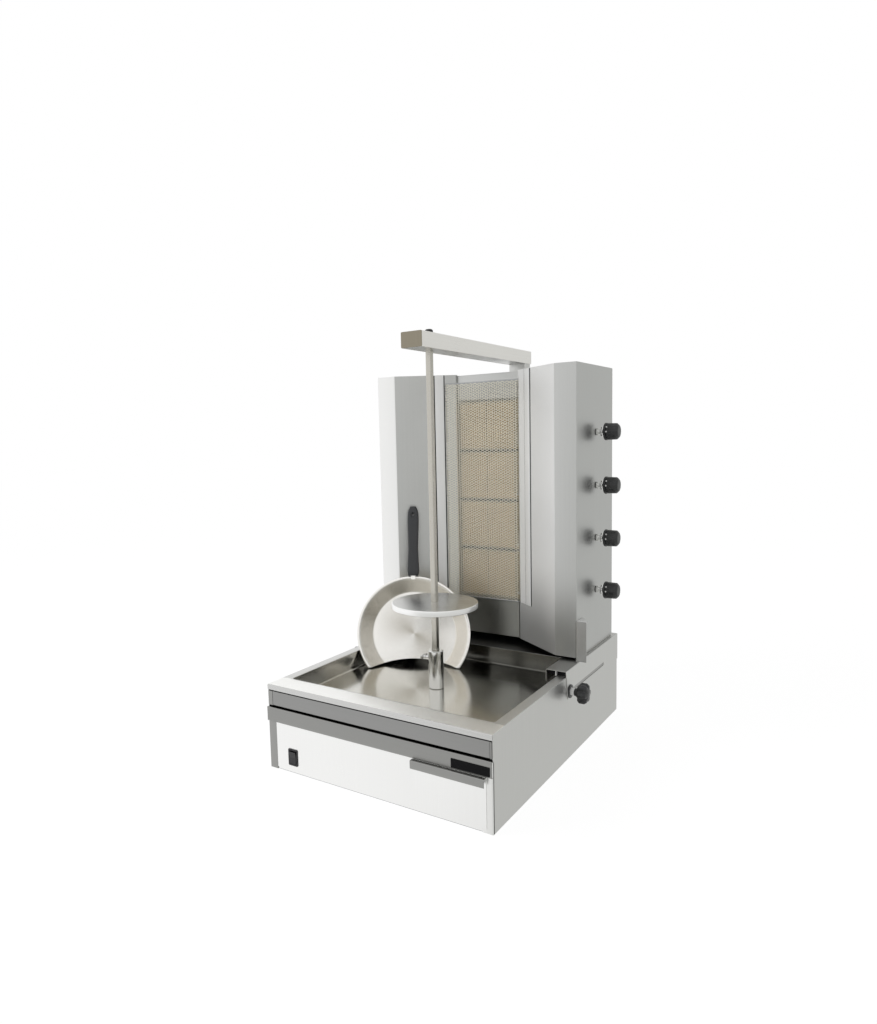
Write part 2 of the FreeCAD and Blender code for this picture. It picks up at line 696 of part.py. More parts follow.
def bush_and_pin():
    """The nylon bush inside the arm, and the pin with its knob that drops through it into the bar."""
    bore = "pin_radius + running"
    rim = "arm_width / 2 - post_wall - arm_bush_margin"
    low, high = f"{SKEWER_TOP} + arm_bush_lift", f"{ARM_TOP} - post_wall"
    turned("arm_bush", [(bore, low), (rim, low), (rim, high), (bore, high)])
    tip = f"({SKEWER_TOP} - pin_depth)"
    knob_top = f"({ARM_TOP} + pin_knob_height)"
    turned("top_pin", [
        ("0", tip), ("pin_radius - pin_taper / 2", tip), ("pin_radius", f"{tip} + pin_taper"),
        ("pin_radius", f"{ARM_TOP} + play"), ("pin_knob_radius - pin_knob_edge / 3", f"{ARM_TOP} + play"),
        ("pin_knob_radius", f"{ARM_TOP} + 2 * pin_knob_edge / 3"),
        ("pin_knob_radius", f"{knob_top} - pin_knob_edge"),
        ("pin_knob_radius - pin_knob_edge", knob_top), ("0", knob_top)])


def clamp(name, side):
    """The lobed hand knob that pinches the carriage against the side panel."""
    end = "(clamp_hub + clamp_head)"
    bore = "stud_radius + running"
    body = turned(name + "_turned", [
        (bore, "0"), ("clamp_hub_radius", "0"), ("clamp_hub_radius + clamp_hub_flare", "clamp_hub"),
        ("clamp_head_radius - 3 / 5 * clamp_edge", "clamp_hub + clamp_edge / 5"),
        ("clamp_head_radius", "clamp_hub + clamp_edge"), ("clamp_head_radius", f"{end} - clamp_edge"),
        ("clamp_head_radius - clamp_edge", end), ("0", end), ("0", "clamp_hub + clamp_bore_past"),
        (bore, "clamp_hub + clamp_bore_past")],
        (f"{side} * ({HALF} + clamp_stand_off)", "clamp_from_axis", CLAMP_UP), "X" if side > 0 else "-X")
    flutes = []
    middle = f"{side} * ({HALF} + clamp_stand_off + clamp_hub + clamp_head / 2)"
    pitch = "(clamp_head_radius * 1.16)"
    for i in range(KNOB_LOBES):
        turn = f"{(i + 0.5) * 360 / KNOB_LOBES}"
        flutes.append(rod(f"{name}_flute_{i + 1}", "X", "clamp_head_radius * 0.32",
                          (f"{middle} - clamp_head", f"clamp_from_axis + {pitch} * cos({turn})",
                           f"{CLAMP_UP} + {pitch} * sin({turn})"), "2 * clamp_head"))
    return carve(name, body, *flutes)


def clamp_studs():
    """Each stud with its inner nut and outer washer, fixed to a side panel."""
    studs = []
    inner = f"({PANEL_IN} - stud_nut)"
    shank_end = f"({HALF} + clamp_stand_off + clamp_hub + clamp_bore_past / 2)"
    for name, side in (("right", 1), ("left", -1)):
        shank_low, shank_high = side_span(side, inner, shank_end)
        nut_low, nut_high = side_span(side, inner, PANEL_IN)
        wash_low, _ = side_span(side, f"{SKIRT_OUT} + play", f"{SKIRT_OUT} + play + washer_thick")
        shank = rod(f"stud_{name}_shank", "X", "stud_radius", (shank_low, "clamp_from_axis", CLAMP_UP),
                    f"({shank_high}) - ({shank_low})")
        nut = rod(f"stud_{name}_nut", "X", "2 * stud_radius", (nut_low, "clamp_from_axis", CLAMP_UP),
                  f"({nut_high}) - ({nut_low})")
        washer = rod(f"stud_{name}_washer", "X", "washer_radius", (wash_low, "clamp_from_axis", CLAMP_UP),
                     "washer_thick")
        studs.append(join(f"stud_{name}", shank, nut, washer))
    return gather("clamp_studs", studs)


def carriage(name, side):
    """A folded channel that rides on a side rim: inner leg, top plate and a slotted outer skirt."""
    inner = f"({HALF} - carriage_width)"
    top = block(name + "_top", side_span(side, inner, SKIRT_OUT), (CARRIAGE_FRONT, BACK),
                (f"{PLATE_TOP} - gauge", PLATE_TOP))
    leg = block(name + "_leg", side_span(side, inner, f"{inner} + gauge"),
                (CARRIAGE_FRONT, f"{CARRIAGE_FRONT} + carriage_leg_length"),
                (f"{PLATE_TOP} - carriage_leg", PLATE_TOP))
    skirt_bottom = "(rim_height - skirt_drop)"
    low, high = side_span(side, f"{HALF} + play", SKIRT_OUT)
    skirt = prism(name + "_skirt", "YZ_Plane", [
        (CARRIAGE_FRONT, PLATE_TOP), (f"{CARRIAGE_FRONT} + skirt_slant", skirt_bottom), (BACK, skirt_bottom),
        (BACK, PLATE_TOP)], low, high)
    wide = "(stud_radius + play)"
    slot_ends = ("clamp_from_axis", f"clamp_from_axis + slot_length - 2 * {wide}")
    through = side_span(side, f"{HALF} - overcut", f"{HALF} + overcut")
    middle = block(name + "_slot_run", through, slot_ends, about(CLAMP_UP, wide))
    ends = [rod(f"{name}_slot_end_{i}", "X", wide, (through[0], along, CLAMP_UP), "2 * overcut")
            for i, along in enumerate(slot_ends)]
    return carve(name, join(name + "_sheet", top, leg, skirt), middle, *ends)


def glide_blocks():
    """Nylon blocks between each carriage and its rim."""
    blocks = []
    places = (("front", f"{CARRIAGE_FRONT} + glide_lead"), ("middle", f"{TOWER_FRONT} + glide_length"),
              ("rear", f"{BACK} - 2 * glide_length"))
    for name, side in (("right", 1), ("left", -1)):
        across = side_span(side, f"{HALF} - side_rim + glide_inset", f"{HALF} - glide_inset")
        for place_name, start in places:
            blocks.append(block(f"glide_{name}_{place_name}", across, (start, f"{start} + glide_length"),
                                ("rim_height + play", f"{PLATE_TOP} - gauge")))
    return gather("glide_blocks", blocks)


def foot_brackets():
    """Upright angles that stand the tower on its carriage, with a lug that a hand can pull."""
    angles = []
    up = (PLATE_TOP, f"{PLATE_TOP} + foot_bracket_height")
    for name, side in (("right", 1), ("left", -1)):
        lug = block(f"bracket_{name}_lug", side_span(side, TOWER_HALF, f"{TOWER_HALF} + bracket_width"),
                    (f"{TOWER_FRONT} - bracket_gauge", TOWER_FRONT), up)
        leg = block(f"bracket_{name}_leg", side_span(side, TOWER_HALF, f"{TOWER_HALF} + bracket_gauge"),
                    (TOWER_FRONT, f"{TOWER_FRONT} + bracket_leg"), up)
        angles.append(join(f"bracket_{name}", lug, leg))
    return gather("foot_brackets", angles)


def wing(name, side):
    """A folded sheet: outer side, front band and the angled face that frames the burners."""
    bend = "gauge * tan(wing_angle / 2)"
    inner_bend = "gauge * tan(45 - wing_angle / 2)"
    end = f"{TOWER_BACK} - 1.5 * gauge"
    corners = [(TOWER_HALF, end), (TOWER_HALF, TOWER_FRONT), (WING_CORNER, TOWER_FRONT),
               (WING_IN, RECESS), (WING_IN, f"{PANEL_Y} + gauge"),
               (f"{WING_IN} + gauge", f"{PANEL_Y} + gauge"),
               (f"{WING_IN} + gauge", f"{RECESS} + {inner_bend}"),
               (f"{WING_CORNER} + {bend}", f"{TOWER_FRONT} + gauge"),
               (f"{TOWER_HALF} - gauge", f"{TOWER_FRONT} + gauge"), (f"{TOWER_HALF} - gauge", end)]
    outline = [(f"{side} * ({x})", y) for x, y in corners]
    if side < 0:
        return prism(name, "XY_Plane", outline, TOWER_BOTTOM, TOWER_TOP)
    sheet_metal = prism(name + "_sheet", "XY_Plane", outline, TOWER_BOTTOM, TOWER_TOP)
    holes = [rod(f"{name}_stem_hole_{i + 1}", "X", "stem_radius + play",
                 (f"{TOWER_HALF} - overcut", VALVE_Y, knob_height(i)), "2 * overcut") for i in range(BURNERS)]
    return carve(name, sheet_metal, *holes)


def knob_height(index):
    """The height of a gas valve, a little under the middle of the burner that it feeds."""
    return f"({BURNER_BOTTOM} + {index + 0.5} * {BURNER_PITCH} - burner_gap / 2 - valve_drop)"


def tower_covers():
    """The rear cover with its louvres, and the roof with its vents over the floor of the same outline."""
    cover = block("rear_outside", (f"-{TOWER_HALF}", TOWER_HALF), (f"{TOWER_BACK} - gauge", TOWER_BACK),
                  (TOWER_BOTTOM, TOWER_TOP))
    through = (f"{TOWER_BACK} - overcut", f"{TOWER_BACK} + overcut")
    louvres = []
    for i in range(LOUVRES):
        top = f"({TOWER_TOP} - louvre_drop - {i} * louvre_pitch)"
        louvres.append(block(f"louvre_{i + 1}", about("0", "louvre_half"), through,
                             (f"{top} - louvre_height", top)))
    inlet = rod("rear_inlet_hole", "Y", "pipe_radius + play", (RISER_X, through[0],
                                                               f"{TOWER_BOTTOM} + inlet_lift"),
                "2 * overcut")
    carve("rear_cover", cover, inlet, *louvres)
    side, back = f"({TOWER_HALF} - gauge - play)", f"({TOWER_BACK} - 1.5 * gauge - play)"
    front, middle = f"({TOWER_FRONT} + gauge + play)", f"({PANEL_Y} + gauge + play)"
    inner, notch = f"({WING_IN} + gauge + play)", f"({RECESS} + gauge + play)"
    corner = f"({WING_CORNER} + play)"
    right = [(inner, middle), (inner, notch), (corner, front), (side, front), (side, back)]
    plate = [(f"-{x}", y) for x, y in reversed(right)] + right
    roof_bottom = f"({TOWER_TOP} - roof_drop)"
    roof = prism("roof_sheet", "XY_Plane", plate, roof_bottom, f"{roof_bottom} + gauge")
    vents = []
    for i in range(ROOF_VENTS):
        centre = f"({i - (ROOF_VENTS - 1) / 2} * vent_pitch)"
        vents.append(block(f"roof_vent_{i + 1}", about(centre, "vent_width / 2"),
                           (f"{TOWER_BACK} - vent_from_back - vent_length", f"{TOWER_BACK} - vent_from_back"),
                           (f"{roof_bottom} - overcut", f"{roof_bottom} + gauge + overcut")))
    carve("tower_roof", roof, *vents)
    floor_bottom = f"({TOWER_BOTTOM} + floor_lift)"
    prism("tower_floor", "XY_Plane", plate, floor_bottom, f"{floor_bottom} + gauge")


def tower_panels():
    """The plain panel over the burners, and the one under them with a rolled top edge."""
    face = (PANEL_Y, f"{PANEL_Y} + gauge")
    block("upper_panel", about("0", f"{WING_IN} - play"), face,
          (f"{BURNER_TOP} + upper_gap", f"{TOWER_TOP} - roof_drop - play"))
    half = f"({WING_IN} - lower_side_gap)"
    up = (TOWER_BOTTOM, f"{BURNER_BOTTOM} - lower_gap")
    lower = block("lower_sheet", about("0", half), face, up)
    roll = block("lower_roll", about("0", half), (f"{PANEL_Y} - hook_roll", face[1]),
                 (f"{up[1]} - gauge", up[1]))
    folds = [block(f"lower_fold_{word}", side_span(side, f"{half} - gauge", half),
                   (f"{PANEL_Y} - hook_roll", PANEL_Y), up)
             for word, side in (("right", 1), ("left", -1))]
    join("lower_panel", lower, roll, *folds)


def on_angled_face(side, distance, out):
    """A point that far along a wing's angled face from its inner edge, and standing out from it."""
    return (f"{side} * ({WING_IN} + ({distance}) * cos(wing_angle) - ({out}) * sin(wing_angle))",
            f"{RECESS} - ({distance}) * sin(wing_angle) - ({out}) * cos(wing_angle)")


def guard_rails():
    """A flat strip on each angled face, beside whose inner edge the guard's returns slide down."""
    strips = []
    outer = "rail_start + rail_width"
    for name, side in (("right", 1), ("left", -1)):
        points = [on_angled_face(side, *corner) for corner in (
            ("rail_start", "play"), (outer, "play"), (outer, "play + rail_height"),
            ("rail_start", "play + rail_height"))]
        strips.append(prism(f"rail_{name}", "XY_Plane", points, GUARD_BOTTOM, f"{TOWER_TOP} - rail_top_gap"))
    return gather("guard_rails", strips)


def mesh_guard():
    """The guard in front of the burners: a holed flat face with a plain return along each wing."""
    half = f"({WING_IN} - guard_inset)"
    face = block("guard_face", about("0", half), (RECESS, f"{RECESS} + guard_gauge"),
                 (GUARD_BOTTOM, GUARD_TOP))
    outer = "rail_start - guard_rail_gap"
    returns = []
    for word, side in (("right", 1), ("left", -1)):
        points = [on_angled_face(side, *corner) for corner in (
            ("play", "play"), (outer, "play"), (outer, "play + guard_gauge"),
            ("-guard_miter", "play + guard_gauge"))]
        returns.append(prism(f"guard_return_{word}", "XY_Plane", points, GUARD_BOTTOM, GUARD_TOP))
    pitch_x = f"({half} * 2 / {GUARD_COLUMNS})"
    pitch_z = f"(({GUARD_TOP} - {GUARD_BOTTOM}) / {GUARD_ROWS})"
    holes = []
    for i in range(GUARD_COLUMNS):
        for j in range(GUARD_ROWS):
            centre_x = f"{i + 0.5} * {pitch_x} - {half}"
            centre_z = f"{GUARD_BOTTOM} + {j + 0.5} * {pitch_z}"
            holes.append(block(f"guard_gap_{i}_{j}", about(centre_x, f"({pitch_x} - guard_bar) / 2"),
                               (f"{RECESS} - overcut", f"{RECESS} + overcut"),
                               about(centre_z, f"({pitch_z} - guard_bar) / 2")))
    return join("mesh_guard", carve("guard_holed", face, *holes), *returns)


def burner(index):
    """One burner: a steel box with two plaques let into its face, and the flame probe beside them."""
    word = index + 1
    low = f"({BURNER_BOTTOM} + {index} * {BURNER_PITCH})"
    high = f"({low} + {BURNER_PITCH} - burner_gap)"
    left = f"(plaque_edge - {BURNER_HALF})"
    shell = block(f"burner_shell_{word}", (f"-{BURNER_HALF}", BURNER_HALF), (BURNER_FACE, BURNER_BACK),
                  (low, high))
    up = (f"{low} + plaque_margin", f"{high} - plaque_margin")
    seat = f"({BURNER_FACE} + plaque_thick)"
    wells, plaques = [], []
    for j in range(2):
        start = f"({left} + {j} * (plaque_width + plaque_seam))"
        across = (start, f"{start} + plaque_width")
        wells.append(block(f"burner_well_{word}_{j + 1}", across, (f"{BURNER_FACE} - overcut", seat), up))
        plaques.append(block(f"plaque_{word}_{j + 1}", across, (f"{BURNER_FACE} + plaque_sunk", seat), up))
    chamber = block(f"burner_chamber_{word}",
                    (f"{left} + chamber_inset", f"{left} + 2 * plaque_width + plaque_seam - chamber_inset"),
                    (f"{seat} - plaque_sunk", f"{BURNER_BACK} - gauge"),
                    (f"{low} + chamber_rise", f"{high} - chamber_rise"))
    middle = f"({BURNER_HALF} - probe_in)"
    foot = f"({low} + probe_foot)"
    tip = rod(f"probe_tip_{word}", "Z", "probe_radius", (middle, f"{BURNER_FACE} - probe_out", foot),
              "probe_length")
    clip = block(f"probe_clip_{word}", about(middle, "probe_clip_half"),
                 (f"{BURNER_FACE} - probe_clip_depth", BURNER_FACE), (f"{foot} - probe_clip_height", foot))
    return carve(f"burner_{word}", shell, *wells, chamber), plaques, join(f"probe_{word}", tip, clip)


def burners():
    """Four ceramic gas burners, one over another, on two upright rails."""
    made = [burner(i) for i in range(BURNERS)]
    gather("burner_boxes", [box for box, _, _ in made])
    gather("ceramic_plaques", [plaque for _, plaques, _ in made for plaque in plaques])
    gather("flame_probes", [probe for _, _, probe in made])
    outer = "burner_rail_in + burner_rail_width"
    up = (f"{TOWER_BOTTOM} + floor_lift + gauge", f"{TOWER_TOP} - roof_drop")
    gather("burner_rails", [block(f"burner_rail_{word}", side_span(side, "burner_rail_in", outer),
                                  (BURNER_BACK, f"{BURNER_BACK} + burner_rail_thick"), up)
                            for word, side in (("right", 1), ("left", -1))])


def gas_valve(index):
    """One valve with its stem and knob, outside and inside the right wing."""
    word = index + 1
    up = knob_height(index)
    half = "valve_side / 2"
    body = block(f"valve_block_{word}", (VALVE_IN, f"{VALVE_IN} + valve_length"), about(VALVE_Y, half),
                 about(up, half))
    bore = rod(f"valve_bore_{word}", "X", "stem_radius + running",
               (f"{VALVE_IN} + valve_bore_start", VALVE_Y, up),
               "valve_length")
    stem_in = f"({VALVE_IN} + stem_start)"
    rod(f"valve_stem_{word}", "X", "stem_radius", (stem_in, VALVE_Y, up),
        f"{KNOB_FACE} + gas_knob_length - stem_short - {stem_in}")
    skirt = "gas_knob_radius + knob_skirt"
    bottom = "gas_knob_length - knob_cap"
    turned(f"gas_knob_{word}", [
        ("stem_radius + running", "0"), ("gas_knob_radius - 2 * knob_skirt", "0"), (skirt, "2 * knob_skirt"),
        (skirt, "knob_skirt_height - 2 * knob_skirt"), ("gas_knob_radius", "knob_skirt_height"),
        ("gas_knob_radius - 2 * knob_skirt", "gas_knob_length - knob_nose"),
        ("gas_knob_radius - knob_nose", "gas_knob_length"), ("0", "gas_knob_length"), ("0", bottom),
        ("stem_radius + running", bottom)], (KNOB_FACE, VALVE_Y, up), "X")
    return carve(f"valve_{word}", body, bore)


def gas_line():
    """The valves, and the riser with its inlet and a mixing tube to each burner."""
    gather("gas_valves", [gas_valve(i) for i in range(BURNERS)])
    runs = []
    for i in range(BURNERS):
        start = f"({BURNER_HALF} - mixer_in)"
        runs.append(rod(f"mixer_{i + 1}", "X", "pipe_radius * 0.9", (start, RISER_Y, knob_height(i)),
                        f"{RISER_X} - {start}"))
        runs.append(rod(f"mixer_neck_{i + 1}", "Y", "pipe_radius * 0.8",
                        (f"{BURNER_HALF} - neck_in", BURNER_BACK, knob_height(i)), "pipe_radius"))
    bottom = f"({TOWER_BOTTOM} + riser_lift)"
    riser = rod("riser", "Z", "pipe_radius", (RISER_X, RISER_Y, bottom),
                f"{TOWER_TOP} - riser_top_gap - {bottom}")
    inlet = rod("riser_inlet", "Y", "pipe_radius", (RISER_X, RISER_Y, f"{TOWER_BOTTOM} + inlet_lift"),
                f"{TOWER_BACK} + inlet_reach - {RISER_Y}")
    join("gas_manifold", riser, inlet, *runs)


def scoop_bowl():
    """The scoop's round pan with a bite out of its lower edge, facing +Z about its own centre."""
    inner_floor = "-scoop_depth + scoop_wall"
    bowl = turned("scoop_bowl", [
        ("0", "-scoop_depth"), ("scoop_floor_radius", "-scoop_depth"),
        ("scoop_radius - scoop_shoulder", "-scoop_shoulder"),
        ("scoop_radius - scoop_rim + scoop_edge", "-scoop_edge"), ("scoop_radius", "-scoop_edge"),
        ("scoop_radius", "0"),
        ("scoop_radius - scoop_rim", "0"), ("scoop_radius - scoop_shoulder - scoop_wall",
                                            "-scoop_shoulder + scoop_edge"),
        ("scoop_floor_radius - scoop_wall", inner_floor), ("0", inner_floor)])
    bite_radius = "((scoop_radius ^ 2 - scoop_rise ^ 2 + scoop_cut_rise ^ 2) / (2 * scoop_cut_rise))"
    bite = rod("scoop_bite", "Z", bite_radius, ("0", f"scoop_cut_rise - scoop_rise - {bite_radius}",
                                                "-scoop_depth - overcut"),
               "scoop_depth + 2 * overcut")
    return carve("scoop_pan", bowl, bite)


def scoop_handle():
    """The grip with its waist and its eye, on a tang that is fixed to the scoop's rim."""
    start = "(scoop_radius - handle_lap)"
    end = f"({start} + handle_length)"
    tang = block("handle_tang", about("0", "tang_width / 2"), (f"{start} + tang_start",
                                                               f"{start} + tang_end"),
                 ("0", "tang_thick"))
    right = [("handle_width / 2", f"{start} + grip_start"), ("handle_waist / 2",
                                                             f"{start} + handle_length * 0.45"),
             ("handle_width / 2 - handle_taper / 6", f"{start} + handle_length * 0.85"),
             ("handle_width / 2 - handle_taper", end)]
    outline = right + [(f"-({x})", y) for x, y in reversed(right)]
    grip = prism("handle_grip", "XY_Plane", outline, *about("0", "handle_thick / 2"))
    eye = rod("handle_eye", "Z", "handle_hole", ("0", f"{end} - handle_hole_in",
                                                 "-handle_thick / 2 - overcut"),
              "handle_thick + 2 * overcut")
    return carve("scoop_handle", join("handle_whole", tang, grip), eye)


def scoop():
    """The scoop stands in the pan on its bitten edge and leans back until its handle meets the left wing."""
    lean = FreeCAD.Rotation(FreeCAD.Vector(1, 0, 0), 90 - number("scoop_lean"))
    turn = FreeCAD.Rotation(FreeCAD.Vector(0, 0, 1), number("wing_angle - scoop_skew"))
    reach = "(scoop_rise + scoop_radius - handle_lap + handle_length)"
    stand = f"({reach} * sin(scoop_lean) + handle_thick / 2 * cos(scoop_lean) + scoop_gap)"
    wing_face = f"({TOWER_FRONT} + ({WING_CORNER} - scoop_left) * tan(wing_angle))"
    foot = f"({wing_face} - {stand} / cos(wing_angle))"
    back = "(scoop_rise * sin(scoop_lean))"
    for piece in (scoop_bowl(), scoop_handle()):
        piece.Placement.Rotation = turn.multiply(lean)
        place(piece, f"-scoop_left - {back} * sin(wing_angle - scoop_skew)",
              f"{foot} + {back} * cos(wing_angle - scoop_skew)",
              f"{FLOOR_TOP} + play + scoop_rise * cos(scoop_lean) + scoop_edge * sin(scoop_lean)")


side_panel("side_panel_right", 1)
side_panel("side_panel_left", -1)
front_fascia()
front_apron()
front_band()
blank_plate()
cabinet_back_and_floor()
drip_tray()
switch_housing()
rocker()
drawer()
drawer_runners()
gear_motor()
shaft_and_coupler()
skewer_and_disc()
arm_and_post()
bush_and_pin()
clamp_studs()
clamp("clamp_knob_right", 1)
clamp("clamp_knob_left", -1)
carriage("carriage_right", 1)
carriage("carriage_left", -1)
glide_blocks()
foot_brackets()
wing("wing_right", 1)
wing("wing_left", -1)
tower_covers()
tower_panels()
guard_rails()
mesh_guard()
burners()
gas_line()
scoop()
rod("cable_gland", "Y", "gland_radius", (f"gland_margin - {HALF}", BACK, "gland_up"), "gland_reach")

NODES = """
    side_panel_right side_panel_left front_fascia front_apron front_band blank_plate back_panel
    bottom_plate drip_tray switch_housing rocker drawer_tray drawer_front drawer_runners motor_bridge
    gearbox drive_motor shaft_bush drive_shaft drive_coupler skewer_bar meat_disc wing_screw arm_post
    top_arm arm_bush top_pin clamp_studs clamp_knob_right clamp_knob_left carriage_right carriage_left
    glide_blocks foot_brackets wing_right wing_left rear_cover tower_roof tower_floor upper_panel
    lower_panel guard_rails mesh_guard burner_boxes burner_rails ceramic_plaques flame_probes gas_valves
    gas_manifold valve_stem_1 valve_stem_2 valve_stem_3 valve_stem_4 gas_knob_1 gas_knob_2 gas_knob_3
    gas_knob_4 scoop_pan scoop_handle cable_gland
""".split()

doc.recompute()
faults = [thing.Name for thing in doc.Objects if {"Invalid", "Error"} & set(thing.State)]
by_label = {thing.Label: thing for thing in doc.Objects}
for node in NODES:
    shape = by_label[node].Shape
    if shape.isNull() or not shape.isValid() or not shape.Solids:
        faults.append(node)
if faults:
    raise RuntimeError("these did not build: " + ", ".join(faults))

os.makedirs("parts", exist_ok=True)
for node in NODES:
    by_label[node].Shape.exportStep(f"parts/{node}.step")
print(len(NODES), "nodes,", sum(len(by_label[node].Shape.Solids) for node in NODES), "solids")
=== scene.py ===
# %% [markdown]
# # A gas kebab grill in brushed steel
# The machine is sheet metal almost everywhere, so its looks come from three things: soft bends between flat
# faces, the fine lines that a brushing belt leaves, and what the metal mirrors. The frame below holds every
# part at its real place. Each cell dresses one part or replaces it with a finer surface in the same place.

# %% The frame that everything stands in
import json
from math import cos, pi, radians, sin, tan

import bmesh
import bpy
import numpy as np
from mathutils import Matrix, Vector

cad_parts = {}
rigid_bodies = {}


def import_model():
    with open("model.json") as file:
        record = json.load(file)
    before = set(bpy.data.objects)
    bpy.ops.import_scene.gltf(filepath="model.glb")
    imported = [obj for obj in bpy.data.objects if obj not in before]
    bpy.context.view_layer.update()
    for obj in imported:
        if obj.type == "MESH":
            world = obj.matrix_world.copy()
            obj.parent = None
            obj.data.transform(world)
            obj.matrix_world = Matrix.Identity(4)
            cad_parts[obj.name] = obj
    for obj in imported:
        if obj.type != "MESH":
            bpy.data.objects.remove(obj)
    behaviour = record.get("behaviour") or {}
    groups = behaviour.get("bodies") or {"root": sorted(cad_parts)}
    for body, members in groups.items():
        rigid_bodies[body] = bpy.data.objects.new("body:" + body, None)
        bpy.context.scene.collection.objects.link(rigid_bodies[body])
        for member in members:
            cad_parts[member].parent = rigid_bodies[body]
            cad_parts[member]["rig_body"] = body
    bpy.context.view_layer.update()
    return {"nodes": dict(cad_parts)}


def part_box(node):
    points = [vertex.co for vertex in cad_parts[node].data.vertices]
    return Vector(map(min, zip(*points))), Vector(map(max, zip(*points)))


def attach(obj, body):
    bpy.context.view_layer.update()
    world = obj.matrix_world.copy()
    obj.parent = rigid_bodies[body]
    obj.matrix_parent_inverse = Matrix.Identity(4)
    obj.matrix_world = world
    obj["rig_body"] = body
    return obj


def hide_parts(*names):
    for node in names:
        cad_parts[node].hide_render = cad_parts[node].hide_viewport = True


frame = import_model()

MM = 0.001


def ends(node):
    """The lowest and highest corners of a node, in millimetres."""
    low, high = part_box(node)
    return np.array(low) / MM, np.array(high) / MM


def body_name(node):
    """The body that a node rides on."""
    return frame["nodes"][node]["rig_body"]


def twins(node):
    """The right and the left twin of a node: name, side (+1 or -1), low and high corners, outer and inner
    X."""
    for word, side in (("right", 1), ("left", -1)):
        low, high = ends(f"{node}_{word}")
        outer, inner = (high[0], low[0]) if side > 0 else (low[0], high[0])
        yield f"{node}_{word}", side, low, high, outer, inner


# %% [markdown]
# ## The camera
# The photograph was taken from the right of the machine, level with its upper burners. The place and the
# direction were worked out from the corners of the cabinet and the tower, whose sizes the frame holds.

# %% Camera at the photograph's angle
CAMERA_AT = (0.92402, -1.53624, 0.79020)
CAMERA_FORWARD = Vector((-0.56420, 0.81929, -0.10218))
CAMERA_UP = Vector((-0.03506, 0.09987, 0.99438))


def link(name, data):
    """A new object in the scene that shows this data."""
    made = bpy.data.objects.new(name, data)
    bpy.context.scene.collection.objects.link(made)
    return made


def make_camera():
    """A camera whose three axes are the right, up and backward directions of the photograph."""
    data = bpy.data.cameras.new("camera")
    data.sensor_fit = "VERTICAL"
    data.sensor_height = 36
    data.lens = 25.752
    data.shift_x = 0.0495
    data.shift_y = 0.0011
    camera = link("camera", data)
    back = -CAMERA_FORWARD.normalized()
    right = CAMERA_UP.cross(back).normalized()
    turn = Matrix((right, back.cross(right), back)).transposed().to_4x4()
    camera.matrix_world = Matrix.Translation(CAMERA_AT) @ turn
    bpy.context.scene.camera = camera


make_camera()

# %% [markdown]
# ## Shader maths as plain expressions
# A finish is a small graph of nodes. Writing it as arithmetic keeps it readable: a Reading is a number that
# varies over the surface, and adding or multiplying two of them puts a Math node in the graph.

# %% Readings, graphs and finishes


class Reading:
    """The output of a node, with arithmetic that adds Math nodes."""

    def __init__(self, graph, socket):
        self.graph = graph
        self.socket = socket

    def __add__(self, other):
        return self.graph.maths("ADD", self, other)

    def __sub__(self, other):
        return self.graph.maths("SUBTRACT", self, other)

    def __rsub__(self, other):
        return self.graph.maths("SUBTRACT", other, self)

    def __mul__(self, other):
        return self.graph.maths("MULTIPLY", self, other)


class Graph:
    """A node tree that grows by plain calls."""

    def __init__(self, tree):
        self.tree = tree

    def node(self, kind, sockets=None, **settings):
        """Adds a node, sets it up, fills or links its sockets and returns its outputs."""
        made = self.tree.nodes.new("ShaderNode" + kind)
        for name, value in settings.items():
            setattr(made, name, value)
        for name, value in (sockets or {}).items():
            if isinstance(value, Reading):
                self.tree.links.new(value.socket, made.inputs[name])
            else:
                made.inputs[name].default_value = value
        return [Reading(self, output) for output in made.outputs]

    def maths(self, operation, *values):
        return self.node("Math", dict(enumerate(values)), operation=operation)[0]

    def ramp(self, value, start, end, smooth=False):
        """0 up to start and 1 from end on. start may be the larger one."""
        kind = "SMOOTHSTEP" if smooth else "LINEAR"
        limits = {"Value": value, "From Min": start, "From Max": end}
        return self.node("MapRange", limits, interpolation_type=kind)[0]

    def blend(self, amount, first, second):
        """A colour between two colours."""
        return self.node("Mix", {0: amount, 6: first, 7: second}, data_type="RGBA")[2]

    def mixed(self, amount, first, second):
        """A shader between two shaders."""
        return self.node("MixShader", {0: amount, 1: first, 2: second})[0]


